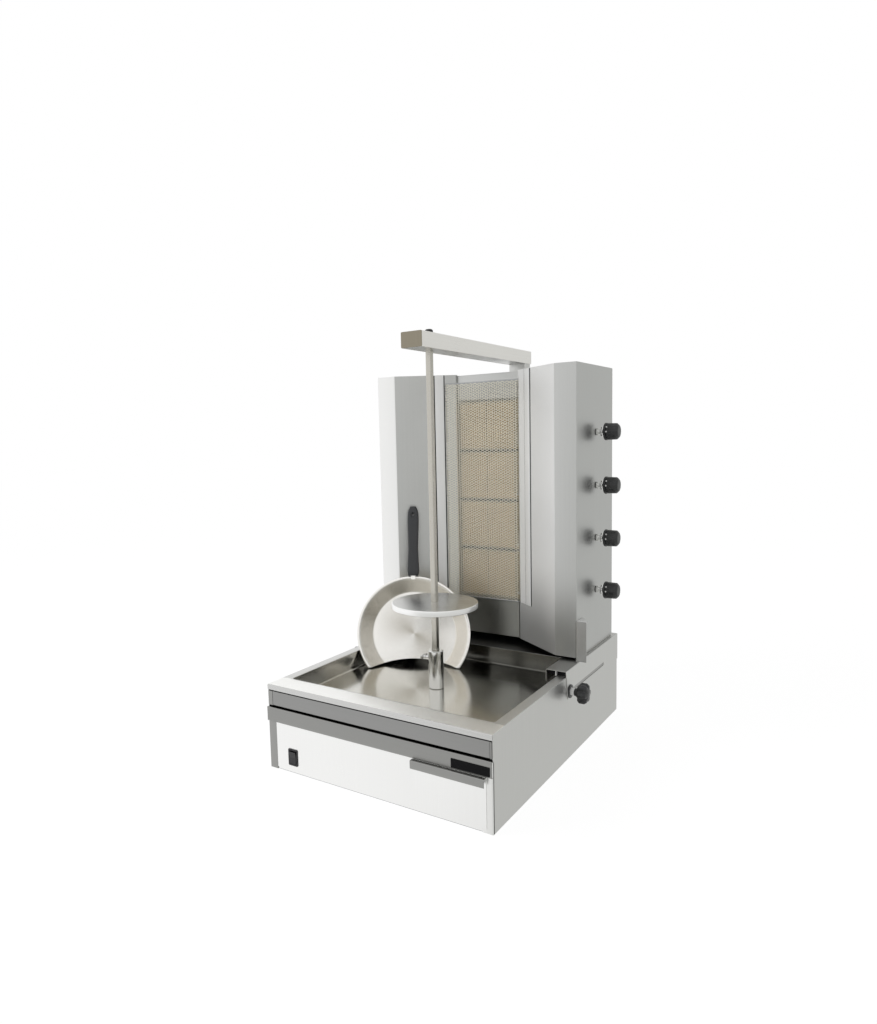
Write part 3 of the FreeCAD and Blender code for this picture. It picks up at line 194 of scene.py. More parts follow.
class Finish(Graph):
    """A material with one Principled shader, whose steady values are set on its own sockets."""

    def __init__(self, name, **steady):
        self.material = bpy.data.materials.new(name)
        self.material.use_nodes = True
        super().__init__(self.material.node_tree)
        self.shader = self.tree.nodes["Principled BSDF"]
        for socket, value in steady.items():
            self.shader.inputs[socket.replace("_", " ")].default_value = value
        self.places = self.node("TexCoord")[3]

    def axes(self):
        """Where a point lies in the frame, in metres, as three readings. All parts sit at the origin."""
        return self.node("SeparateXYZ", {0: self.places})

    def stretched(self, scale, centre=(0, 0, 0), turn=(0, 0, 0)):
        """The same places, seen from centre, turned and scaled along each axis."""
        moved = self.node("VectorMath", {0: self.places, 1: centre}, operation="SUBTRACT")[0]
        turned_back = self.node("VectorRotate", {"Vector": moved, "Rotation": turn},
                                rotation_type="EULER_XYZ", invert=True)[0]
        return self.node("Mapping", {"Vector": turned_back, "Scale": scale})[0]

    def noise(self, scale, detail=3.0):
        """Noise of about one patch per unit of the scaled places, from 0 to 1."""
        return self.node("TexNoise", {"Vector": self.stretched(scale), "Scale": 1.0, "Detail": detail,
                                      "Roughness": 0.6})[0]

    def done(self, colour, roughness, height, strength, distance):
        """Links the colour, the roughness and a bump from the height, and gives the material."""
        tilt = self.node("Bump", {"Height": height, "Strength": strength, "Distance": distance})[0]
        for socket, reading in (("Base Color", colour), ("Roughness", roughness), ("Normal", tilt)):
            self.feed(socket, reading)
        return self.material

    def feed(self, socket, reading):
        self.tree.links.new(reading.socket, self.shader.inputs[socket])


def tone(colour, share=1.0):
    """A colour socket's value: three linear parts, or one for grey, times a share."""
    parts = (colour,) * 3 if isinstance(colour, float) else colour
    return (*(min(1.0, part * share) for part in parts), 1.0)


# %% [markdown]
# ## Brushed sheet
# A belt drags fine scratches one way along a sheet. Noise that is squeezed across the grain and drawn out
# along it has that look: it tilts the surface a little, and makes some lines duller than others. A slower,
# rounder noise adds the faint clouds that hands and cloths leave.

# %% Brushed steel finishes
GRAIN_LINES = 1600
GRAIN_RUN = 14
LIP_FROM = (ends("drawer_front")[0][1] + 10) * MM
WING_EDGE = 0.2913
FOLD_EDGE = 0.235


def brushed(name, colour, roughness, along, tilt=0.12, cloud=0.03, mark=None, metal=1.0):
    """Metal with scratches drawn out along one axis. mark may paint light or shade into the colour in some
    places.
    """
    finish = Finish(name, Metallic=metal)
    scale = [GRAIN_LINES] * 3
    scale["XYZ".index(along)] = GRAIN_RUN
    lines = finish.noise(scale, 2.0)
    bands = finish.noise([value / 6 for value in scale], 2.0)
    clouds = finish.noise((5, 5, 5))
    dull, bright = tone(colour, 1 - cloud * 2), tone(colour, 1 + cloud * 2)
    sheen = finish.blend(bands * 0.5 + clouds * 0.5, dull, bright)
    if mark:
        sheen = mark(finish, sheen)
    return finish.done(sheen, lines * 0.10 + clouds * 0.08 + (roughness - 0.09),
                       lines * 0.7 + bands * 0.3, tilt, 0.0002)


def wing_painted_light(finish, sheen):
    """The slanted face on the right is made pale and less metallic, and the front face on the left pale, as
    painted reflection. Low down the fronts on the right are painted dark as a painted reflection of the
    dark pan."""
    across, back, up = finish.axes()
    blur = 0.5 * MM
    slanted = finish.ramp(across, FOLD_EDGE + 2 * blur, FOLD_EDGE - 2 * blur)
    right = finish.ramp(across, -10 * MM, 10 * MM)
    left = finish.ramp(across, 2 * blur - FOLD_EDGE, -2 * blur - FOLD_EDGE)
    low = finish.ramp(up, 0.46, 0.26, smooth=True)
    inside = finish.ramp(across, WING_EDGE + blur, WING_EDGE - blur)
    outside = finish.ramp(across, -WING_EDGE - blur, -WING_EDGE + blur)
    front = finish.ramp(back, 0.33, 0.31)
    # Painted reflection: the slanted face on the right and the front face on the left are made bright.
    finish.feed("Metallic", 1 - slanted * right * 0.62)
    painted_bright = finish.blend(slanted * right, sheen, tone((0.86, 0.86, 0.85)))
    painted_bright = finish.blend(left * outside * front, painted_bright, tone((0.90, 0.90, 0.89)))
    # Painted reflection of the dark pan: the fronts on the right are darkened low down.
    return finish.blend(low * right * inside * front * 0.60, painted_bright, tone((0.16, 0.16, 0.15)))


def lip_painted_shade(finish, sheen):
    """The drawer's lip stands proud of the fascia, and its sheet is painted grey like the band, as painted
    shade.
    """
    proud = finish.maths("LESS_THAN", finish.axes()[1], LIP_FROM)
    return finish.blend(proud, sheen, tone((0.33, 0.33, 0.32)))


finishes = {
    # fascia: near white as a painted reflection of the white floor in the steel.
    "fascia": brushed("fascia_brushed", (0.93, 0.93, 0.92), 0.30, "Z", 0.10, 0.015, lip_painted_shade),
    "flange": brushed("flange_brushed", (0.34, 0.34, 0.33), 0.34, "Z", 0.12, 0.02),
    "band": brushed("band_brushed", (0.32, 0.32, 0.31), 0.36, "X", 0.14),
    "apron": brushed("apron_brushed", (0.31, 0.31, 0.305), 0.30, "X"),
    "side": brushed("side_brushed", (0.69, 0.69, 0.675), 0.34, "Z", 0.14),
    "wing": brushed("wing_brushed", (0.60, 0.605, 0.595), 0.38, "Z", 0.14, 0.03, wing_painted_light),
    "bracket": brushed("bracket_brushed", (0.45, 0.45, 0.44), 0.36, "Z"),
    # rail: pale and less metallic, so that it shows bright as painted reflection.
    "rail": brushed("rail_brushed", (0.88, 0.88, 0.87), 0.40, "Z", metal=0.38),
    "roof": brushed("roof_brushed", (0.60, 0.605, 0.595), 0.33, "X", 0.14),
    "rim": brushed("rim_brushed", (0.62, 0.62, 0.61), 0.26, "X", 0.10),
    "arm": brushed("arm_brushed", (0.95, 0.93, 0.90), 0.30, "Y", 0.10),
    "arm_end": brushed("arm_end_brushed", (0.30, 0.27, 0.21), 0.34, "Z", 0.10),
    "bar": brushed("bar_drawn", (0.56, 0.54, 0.49), 0.26, "Z", 0.10, 0.04),
    "carriage": brushed("carriage_brushed", (0.50, 0.50, 0.485), 0.34, "Y", 0.14),
    "burner": brushed("burner_heated", (0.42, 0.355, 0.24), 0.42, "X", 0.12, 0.08),
}

# %% [markdown]
# ## Mirror-bright pan
# Fat runs off a smoother, rolled sheet. It mirrors the tower and the scoop, which is why the pan looks
# bright in front of the scoop. Towards the back the sheet is made darker, and under the tower its rim is
# painted dark as painted shade. Slow waves in the sheet bend the mirror images.

# %% Pan, chrome and turned metal
PAN_FRONT = ends("drip_tray")[0][1] * MM
RIM_TOP = ends("drip_tray")[1][2]
DISC_EDGE = ends("meat_disc")[1][0] * MM


def rolled_steel(name, colour, rim_colour):
    """Smooth sheet whose surface rolls in slow waves, with faint smears. The rim is brushed and duller."""
    finish = Finish(name, Metallic=1.0)
    waves = finish.noise((9, 9, 9), 1.0)
    smears = finish.noise((30, 90, 30), 4.0)
    lines = finish.noise((GRAIN_RUN, GRAIN_LINES, GRAIN_LINES), 2.0)
    _, along, up = finish.axes()
    rim = finish.maths("GREATER_THAN", up, (RIM_TOP - 1) * MM)
    back = along + smears * 0.02
    # The floor is made darker towards the back.
    toward_back = finish.ramp(back, 0.06, 0.27, smooth=True)
    sheet = finish.blend(toward_back * 0.85, finish.blend(smears, tone(colour, 0.9), tone(colour)),
                         tone((0.045, 0.045, 0.038)))
    # The rim is made a little darker along the sides, and dark behind 0.252, where it lies under the tower,
    # as painted shade.
    sides = finish.maths("GREATER_THAN", back, PAN_FRONT + 0.066)
    border = finish.blend(sides * 0.27, tone(rim_colour), tone(0.0))
    border = finish.blend(finish.ramp(back, 0.252, 0.262) * 0.9, border, tone((0.05, 0.05, 0.045)))
    return finish.done(finish.blend(rim, sheet, border), smears * 0.10 + rim * 0.28 + 0.11,
                       waves + rim * lines * 0.04, 0.10, 0.004)


def turned_steel(name, colour, roughness, place, rings, tilt, mark):
    """Metal spun or cut on a lathe, with rings round the Z axis of its own place in the frame."""
    finish = Finish(name, Metallic=1.0)
    places = finish.stretched((1, 1, 1), tuple(place.translation), tuple(place.to_euler()))
    ring = finish.node("TexWave", {"Vector": places, "Scale": rings, "Distortion": 1.2, "Detail": 3.0,
                                   "Detail Scale": 0.6}, wave_type="RINGS", rings_direction="Z")[1]
    clouds = finish.noise((12, 12, 12))
    sheen = finish.blend(ring * 0.4 + clouds * 0.6, tone(colour, 0.92), tone(colour))
    return finish.done(mark(finish, sheen, places), ring * 0.08 + clouds * 0.08 + (roughness - 0.08),
                       ring, tilt, 0.0003)


def polished(name, colour, roughness):
    """Plated or cast metal with only faint smears."""
    finish = Finish(name, Metallic=1.0)
    smears = finish.noise((60, 60, 60), 4.0)
    return finish.done(finish.blend(smears, tone(colour, 0.92), tone(colour)), smears * 0.08 + roughness,
                       smears, 0.03, 0.0002)


def from_axis(finish, places):
    """The readings across and along, and how far a point is from the Z axis of these places."""
    across, along, _ = finish.node("SeparateXYZ", {0: places})
    return across, along, finish.maths("SQRT", across * across + along * along)


def disc_edge_highlight(finish, sheen, places):
    """The rolled edge of the disc is painted bright as a painted highlight."""
    away = from_axis(finish, places)[2]
    rolled = finish.ramp(away, DISC_EDGE - 0.003, DISC_EDGE - 0.001)
    return finish.blend(rolled, sheen, tone((0.97, 0.97, 0.96)))


finishes["pan"] = rolled_steel("pan_rolled", (0.68, 0.67, 0.63), (0.98, 0.98, 0.96))
finishes["chrome"] = polished("chrome_plated", (0.80, 0.80, 0.79), 0.05)
finishes["zinc"] = polished("zinc_sheet", (0.52, 0.53, 0.54), 0.38)
finishes["brass"] = polished("brass_machined", (0.70, 0.55, 0.28), 0.28)
finishes["bolt"] = polished("bolt_zinc", (0.72, 0.72, 0.70), 0.20)
finishes["mesh"] = polished("mesh_stainless", (0.90, 0.87, 0.76), 0.42)
finishes["smoked"] = polished("panel_smoked", (0.36, 0.365, 0.35), 0.30)
finishes["disc"] = turned_steel("disc_turned", (0.70, 0.70, 0.69), 0.28, Matrix(), 160, 0.10, disc_edge_highlight)

# %% [markdown]
# ## Plastic, nylon and ceramic
# Moulded plastic has a very fine pebble and a soft sheen. The burner plaques are pressed ceramic, pierced
# by rows of small flame holes: the holes are far too many to model, so they are dots of painted shade with
# a dip in the surface.

# %% Finishes that are not metal
HOLE_PITCH = 3.4 * MM


def moulded(name, colour, roughness, pebble, mirror=0.5):
    """Moulded plastic: a fine pebble and slightly uneven gloss."""
    finish = Finish(name, Metallic=0.0, Specular_IOR_Level=mirror)
    clouds = finish.noise((40, 40, 40))
    sheen = finish.blend(clouds, tone(colour, 0.8), tone(colour))
    return finish.done(sheen, clouds * 0.12 + (roughness - 0.06),
                       finish.noise((1500, 1500, 1500), 2.0), pebble, 0.0003)


def pierced_ceramic():
    """Beige ceramic with a square grid of flame holes painted dark as shade, and a little uneven firing."""
    finish = Finish("ceramic_pierced", Metallic=0.0)
    grid = finish.stretched((1 / HOLE_PITCH, 0, 1 / HOLE_PITCH))
    apart = finish.node("TexVoronoi", {"Vector": grid, "Scale": 1.0, "Randomness": 0.0})[0]
    hole = finish.ramp(apart, 0.34, 0.22, smooth=True)
    firing = finish.noise((14, 14, 22), 4.0)
    body = finish.blend(firing, tone((0.74, 0.57, 0.34)), tone((0.90, 0.74, 0.48)))
    # The holes are painted dark as painted shade.
    shown = finish.blend(hole, body, tone((0.30, 0.21, 0.11)))
    return finish.done(shown, firing * 0.1 + 0.8, 1 - hole, 0.5, 0.001)


finishes["black"] = moulded("black_moulded", (0.022, 0.023, 0.024), 0.32, 0.05)
finishes["gloss_black"] = moulded("black_gloss", (0.012, 0.012, 0.015), 0.14, 0.01)
finishes["handle"] = moulded("handle_moulded", (0.030, 0.032, 0.035), 0.36, 0.06)
finishes["nylon"] = moulded("nylon_natural", (0.62, 0.61, 0.56), 0.45, 0.04)
finishes["white"] = moulded("white_mark", (0.80, 0.80, 0.78), 0.40, 0.01)
finishes["lacquer"] = moulded("lacquer_black", (0.008, 0.008, 0.009), 0.42, 0.02, 0.08)
finishes["rope"] = moulded("fibre_rope", (0.012, 0.011, 0.009), 0.95, 0.30, 0.05)
finishes["motor"] = moulded("motor_paint", (0.10, 0.11, 0.12), 0.45, 0.08)
finishes["ceramic"] = pierced_ceramic()
print("finishes:", len(finishes))

# %% [markdown]
# ## From arrays to meshes
# Every new surface below is a grid of points worked out with numpy, in millimetres. These helpers join the
# grid with faces, bring it to metres, point its faces outwards and let a small bevel catch the light on its
# edges.

# %% Mesh helpers
SHARP = radians(38)
SLOT_OF = {finish: slot for slot, names in {
    "brushed_front": "fascia roof smoked",
    "dark_strip": "band apron",
    "pan_steel": "rim pan",
    "skewer_steel": "bar",
    "disc_steel": "disc",
    "scoop_steel": "scoop",
    "chrome_part": "chrome",
    "galvanised": "bolt",
    "mesh_steel": "zinc mesh",
    "burner_steel": "rope",
    "black_plastic": "black gloss_black handle white lacquer",
}.items() for finish in names.split()}


def grid_faces(rows, columns, wrap_rows=False, wrap_columns=False):
    """The four corners of each cell of a grid, row by row. A wrapped side joins its last line to its
    first."""
    across, along = np.meshgrid(np.arange(rows - (not wrap_rows)), np.arange(columns - (not wrap_columns)),
                                indexing="ij")
    next_row = (across + 1) % rows
    next_column = (along + 1) % columns
    corners = [across * columns + along, across * columns + next_column,
               next_row * columns + next_column, next_row * columns + along]
    return np.stack(corners, -1).reshape(-1, 4)


def make_piece(name, points, faces):
    """A mesh object from an array of points in millimetres and an array or list of faces, facing
    outwards."""
    mesh = bpy.data.meshes.new(name)
    places = np.asarray(points).reshape(-1, 3) * MM
    mesh.from_pydata(places.tolist(), [], [list(map(int, face)) for face in faces])
    tidy_mesh(mesh)
    return link(name, mesh)


def tidy_mesh(mesh):
    """Merges doubled points, drops flat faces, points the rest outwards and shades them smooth up to
    SHARP."""
    work = bmesh.new()
    work.from_mesh(mesh)
    bmesh.ops.remove_doubles(work, verts=work.verts, dist=1e-6)
    bmesh.ops.dissolve_degenerate(work, dist=1e-7, edges=work.edges)
    bmesh.ops.recalc_face_normals(work, faces=work.faces)
    work.to_mesh(mesh)
    work.free()
    mesh.shade_smooth()
    mesh.set_sharp_from_angle(angle=SHARP)


def soften(piece, width=0.4, segments=2):
    """A small bevel on the sharp edges, so that they catch a line of light."""
    bevel = piece.modifiers.new("edge", "BEVEL")
    bevel.width = width * MM
    bevel.segments = segments
    bevel.limit_method = "ANGLE"
    bevel.angle_limit = SHARP
    bevel.harden_normals = True
    return piece


def thicken(piece, gauge):
    """Gives an open sheet its thickness, below the side that it shows."""
    if sum(polygon.normal.z * polygon.area for polygon in piece.data.polygons) < 0:
        piece.data.flip_normals()
    wall = piece.modifiers.new("wall", "SOLIDIFY")
    wall.thickness = gauge * MM
    wall.offset = -1


def add_to(piece, finish, body, slot=None):
    """The piece is extra detail on a body, and gets the finish. The slot that follows from the finish, or
    the one given, is worked out but not used.
    """
    slot = slot or SLOT_OF.get(finish, "brushed_side")
    piece.data.materials.clear()
    piece.data.materials.append(finishes[finish])
    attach(piece, body)
    return piece


def stand_in(piece, finish, node, slot=None):
    """The piece is shown in place of the node, and rides on its body."""
    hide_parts(node)
    return add_to(piece, finish, body_name(node), slot)


def one_of_two(piece, finish, node, side):
    """One node holds both sides: the right piece stands in for it, and the left one is added to its
    body."""
    if side > 0:
        return stand_in(piece, finish, node)
    return add_to(piece, finish, body_name(node))


def dress(finish, *nodes):
    """The node's own shape is right, and only gets its finish."""
    for node in nodes:
        for mesh_slot in frame["nodes"][node].material_slots:
            mesh_slot.material = finishes[finish]


# %% [markdown]
# ## Bends in sheet metal
# A press brake bends sheet round a small radius, never to a knife edge. So a folded part is a path with its
# corners rounded to arcs, given the sheet's thickness on one side and drawn out along the third axis.

# %% Rounded paths, folded sheets and plates
GAUGE = 1.5
BEND = 2.2
PLANES = {"X": (1, 2, 0), "Y": (0, 2, 1), "Z": (0, 1, 2)}


def rounded(corners, radius, closed=False, steps=5):
    """A path whose corners are arcs. At each corner the arc touches both runs, so it starts radius *
    tan(turn / 2) before the corner. Returns the points and, for each point, the direction to the left of
    travel."""
    corners = np.array(corners, float)
    count = len(corners)
    points = []
    normals = []
    for i in range(count):
        here = corners[i]
        if not closed and i in (0, count - 1):
            run = (corners[1] - here) if i == 0 else (here - corners[-2])
            run = run / np.linalg.norm(run)
            points.append(here[None])
            normals.append(np.array([[-run[1], run[0]]]))
            continue
        before = here - corners[i - 1]
        after = corners[(i + 1) % count] - here
        before, after = before / np.linalg.norm(before), after / np.linalg.norm(after)
        turn = np.arctan2(before[0] * after[1] - before[1] * after[0], before @ after)
        side = np.sign(turn)
        start = here - before * radius * abs(tan(turn / 2))
        left = np.array([-before[1], before[0]])
        middle = start + left * side * radius
        angle = np.linspace(0, turn, steps)[:, None]
        swung = np.hstack([left[0] * np.cos(angle) - left[1] * np.sin(angle),
                           left[0] * np.sin(angle) + left[1] * np.cos(angle)])
        points.append(middle - swung * side * radius)
        normals.append(swung)
    return np.vstack(points), np.vstack(normals)


def in_space(flat, height, axis):
    """Puts flat points (two columns) and a height along axis into X, Y and Z."""
    placed = np.empty((len(flat), 3))
    first, second, third = PLANES[axis]
    placed[:, first] = flat[:, 0]
    placed[:, second] = flat[:, 1]
    placed[:, third] = height
    return placed


def folded(name, corners, side, low, high, axis, radius=BEND, gauge=GAUGE, closed=False):
    """Folded sheet: the rounded path is one face, the other lies gauge to its left (+1) or right (-1)."""
    path, normals = rounded(corners, radius, closed)
    other = path + side * gauge * normals
    rows = len(path)
    ring = np.stack([in_space(path, low, axis), in_space(path, high, axis),
                     in_space(other, high, axis), in_space(other, low, axis)], 1)
    faces = [*grid_faces(rows, 4, closed, True)]
    if not closed:
        faces += [[0, 1, 2, 3], [4 * rows - 4, 4 * rows - 3, 4 * rows - 2, 4 * rows - 1]]
    return soften(make_piece(name, ring, faces))


def plate(name, outlines, low, high, axis, edge=0.35):
    """A flat plate between low and high on axis. The first outline is its rim, and the others are holes."""
    curve = bpy.data.curves.new(name, "CURVE")
    curve.dimensions = "2D"
    curve.fill_mode = "BOTH"
    curve.bevel_depth = edge * MM
    curve.bevel_resolution = 1
    curve.offset = -edge * MM
    curve.extrude = ((high - low) / 2 - edge) * MM
    for outline in outlines:
        spline = curve.splines.new("POLY")
        spline.points.add(len(outline) - 1)
        flat = np.zeros((len(outline), 4))
        flat[:, :2] = np.asarray(outline) * MM
        flat[:, 3] = 1
        spline.points.foreach_set("co", flat.ravel())
        spline.use_cyclic_u = True
    drawn = link(name, curve)
    bpy.context.view_layer.update()
    mesh = bpy.data.meshes.new_from_object(drawn)
    bpy.data.objects.remove(drawn)
    places = np.empty(len(mesh.vertices) * 3)
    mesh.vertices.foreach_get("co", places)
    places = places.reshape(-1, 3)
    height = places[:, 2] + (low + high) / 2 * MM
    mesh.vertices.foreach_set("co", in_space(places[:, :2], height, axis).ravel())
    tidy_mesh(mesh)
    piece = link(name, mesh)
    even = piece.modifiers.new("flat_faces", "WEIGHTED_NORMAL")
    even.weight = 100
    even.keep_sharp = True
    return piece


def rectangle(left, bottom, right, top, radius=1.0):
    """A rectangle with round corners."""
    return rounded([(left, bottom), (right, bottom), (right, top), (left, top)], radius, True)[0]


def opening(node, room, radius=1.0):
    """The outline of a hole in a front sheet that leaves room round a node."""
    low, high = ends(node)
    return rectangle(low[0] - room, low[2] - room, high[0] + room, high[2] + room, radius)


def slab(name, corner, other, axis, radius=1.0, edge=0.35, holes=()):
    """A plate that fills the box between two opposite corners, drawn flat on axis."""
    low, high = np.minimum(corner, other), np.maximum(corner, other)
    first, second, third = PLANES[axis]
    outline = rectangle(low[first], low[second], high[first], high[second], radius)
    return plate(name, [outline, *holes], low[third], high[third], axis, edge)


def turned(name, profile, centre, axis="Z", radius=0.6, around=72, lobes=None):
    """A turned part: a profile of radius and height, its corners rounded, swept round the axis through
    centre. lobes is a function of the angle and the radius that gives the radius there."""
    flat, _ = rounded(profile, radius, steps=4)
    angle = np.linspace(0, 2 * pi, around, endpoint=False)
    spread, round_the_axis = np.meshgrid(flat[:, 0], angle, indexing="ij")
    height = np.repeat(flat[:, 1][:, None], around, 1)
    if lobes is not None:
        spread = lobes(round_the_axis, spread)
    first, second = spread * np.cos(round_the_axis), spread * np.sin(round_the_axis)
    order = {"Z": (first, second, height), "X": (height, first, second), "-X": (-height, first, -second),
             "Y": (second, height, first)}[axis]
    points = np.stack(order, -1).reshape(-1, 3) + np.asarray(centre)
    return make_piece(name, points, grid_faces(len(flat), around, False, True))


def rod(radius, start, end):
    """The profile of a plain round bar."""
    return [(0, start), (radius, start), (radius, end), (0, end)]


def hexagon(name, radius, centre, thick, axis):
    """A six-sided nut or bolt head with its corners chamfered."""
    def flats(angle, spread):
        """The radius of a hexagon at each angle, kept under the round chamfer."""
        across = radius * cos(pi / 6)
        return np.minimum(spread, across / np.cos((angle + pi / 6) % (pi / 3) - pi / 6))
    profile = [(0, 0), (radius, 0), (radius, thick * 0.8), (radius * 0.86, thick), (0, thick)]
    return turned(name, profile, centre, axis, 0.05, 72, flats)


def there_and_back(x, lower, upper):
    """The outline between two curves over the same x."""
    return np.stack([np.concatenate([x, x[::-1]]), np.concatenate([lower, upper[::-1]])], 1)


def cut_away(piece, tool):
    """Takes the tool's shape out of the piece for good, and removes the tool."""
    tool.modifiers.clear()
    modifier = piece.modifiers.new("cut", "BOOLEAN")
    modifier.operation = "DIFFERENCE"
    modifier.solver = "EXACT"
    modifier.object = tool
    bpy.context.view_layer.update()
    mesh = bpy.data.meshes.new_from_object(piece.evaluated_get(bpy.context.evaluated_depsgraph_get()))
    piece.modifiers.clear()
    piece.data = mesh
    bpy.data.objects.remove(tool)
    mesh.set_sharp_from_angle(angle=SHARP)


# %% [markdown]
# ## Cabinet sheets
# The sides wrap round the front corners, and the fascia sits between their flanges, with an opening for the
# switch and one for the grease drawer. The strips above it are narrow folded sheets.

# %% Cabinet


def cabinet_sides():
    """A web over the full height, and its front flange that is folded in as high as the fascia, once on
    each side."""
    fascia_top = ends("front_fascia")[1][2]
    for node, side, low, high, outer, inner in twins("side_panel"):
        corner, other = (outer, low[1] + BEND, low[2]), (outer - side * GAUGE, high[1], high[2])
        stand_in(slab(node + "_sheet", corner, other, "X", 0.5), "side", node)
        path = [(outer, low[1] + 6), (outer, low[1]), (inner, low[1])]
        fold = folded(node + "_flange", path, -side, low[2], fascia_top, "Z")
        # The right flange takes the bright fascia colour as painted reflection, the left one the dark
        # flange colour as painted shade.
        add_to(fold, "fascia" if side > 0 else "flange", "base", "brushed_side")


def trough(low, high, back):
    """The path of a strip that is folded back at its bottom and its top edge."""
    return [(back, low[2]), (low[1], low[2]), (low[1], high[2]), (back, high[2])]


def front_sheets():
    """The fascia, the strip over it, the proud band and its blank plate. Behind the strip's top a black
    sheet shows as a dark seam, as painted shade."""
    low, high = ends("front_fascia")
    holes = [opening("switch_housing", -2), opening("drawer_tray", 1)]
    stand_in(slab("fascia_sheet", low, high, "Y", holes=holes), "fascia", "front_fascia")
    behind = high[1] + 0.2
    hem = slab("fascia_hem", (low[0], behind, 1.6), (high[0], behind + 0.6, low[2] + 2), "Y", 0.3, 0.1)
    add_to(hem, "fascia", "base")
    low, high = ends("front_apron")
    # A black sheet behind the seam as painted shade.
    behind = high[1] + 0.1
    corner, other = (low[0] + 1, behind, high[2] - 4), (high[0] - 1, behind + 0.6, high[2] + 2)
    add_to(slab("rim_seam_shade", corner, other, "Y", 0.3, 0.1), "lacquer", "base")
    high[2] -= 1.9
    left, right = low[0] + 14, high[0] - 4
    strip = folded("apron_strip", trough(low, high, low[1] + 9), -1, left, right, "X", 1.8)
    stand_in(strip, "apron", "front_apron")
    for word, start, stop in (("left", low[0], left - 0.8), ("right", right + 0.8, high[0])):
        piece = slab(f"apron_corner_{word}", (start, *low[1:]), (stop, *high[1:]), "Y", 0.5)
        add_to(piece, "flange", "base")
    low, high = ends("front_band")
    strip = folded("band_strip", trough(low, high, high[1]), -1, low[0], high[0], "X", 1.8)
    stand_in(strip, "band", "front_band")
    stand_in(slab("plain_plate", *ends("blank_plate"), "Y", 1.5), "lacquer", "blank_plate", "blank_black")


cabinet_sides()
front_sheets()
dress("zinc", "back_panel", "bottom_plate", "drawer_tray", "drawer_runners", "motor_bridge")
dress("motor", "gearbox", "drive_motor")

# %% [markdown]
# ## Rim and pan
# The pan hangs in the cabinet from a flat rim. Its shape is a set of rounded rectangles, one inside
# another, that run over the rim, down the wall, round the bottom corner and across the floor to the shaft's
# hole. The floor rises by DOME_RISE * (1 - (distance / DOME_REACH)^2)^2 towards the shaft.

# %% Rim and pan
SIDE_RIM = 25
FRONT_RIM = 61
PAN_LENGTH = 482
PAN_FLOOR = RIM_TOP - 47
PAN_CORNER = 7
PAN_FILLET = 5
PAN_LIP = 1.6
SHAFT_HOLE = 14
FLOOR_RINGS = 28
RIM_FOLD = 12.5
DOME_RISE = 2.6
DOME_REACH = 215
DRAIN_BORE = 15
DRAIN_BACK = -150


def loop(low_x, low_y, high_x, high_y, radius, height, runs=24, arc=6):
    """Points round a rectangle with round corners: runs on each straight side and arc on each corner."""
    centres = [(high_x - radius, low_y + radius), (high_x - radius, high_y - radius),
               (low_x + radius, high_y - radius), (low_x + radius, low_y + radius)]
    points = []
    for i, (x, y) in enumerate(centres):
        angle = (i - 1) * pi / 2 + np.linspace(0, pi / 2, arc)
        corner = np.stack([x + radius * np.cos(angle), y + radius * np.sin(angle)], 1)
        next_x, next_y = centres[(i + 1) % 4]
        stop = np.array([next_x + radius * cos(i * pi / 2), next_y + radius * sin(i * pi / 2)])
        share = np.linspace(0, 1, runs + 1)[1:-1, None]
        points += [corner, corner[-1] + (stop - corner[-1]) * share]
    flat = np.vstack(points)
    return np.hstack([flat, np.full((len(flat), 1), height)])


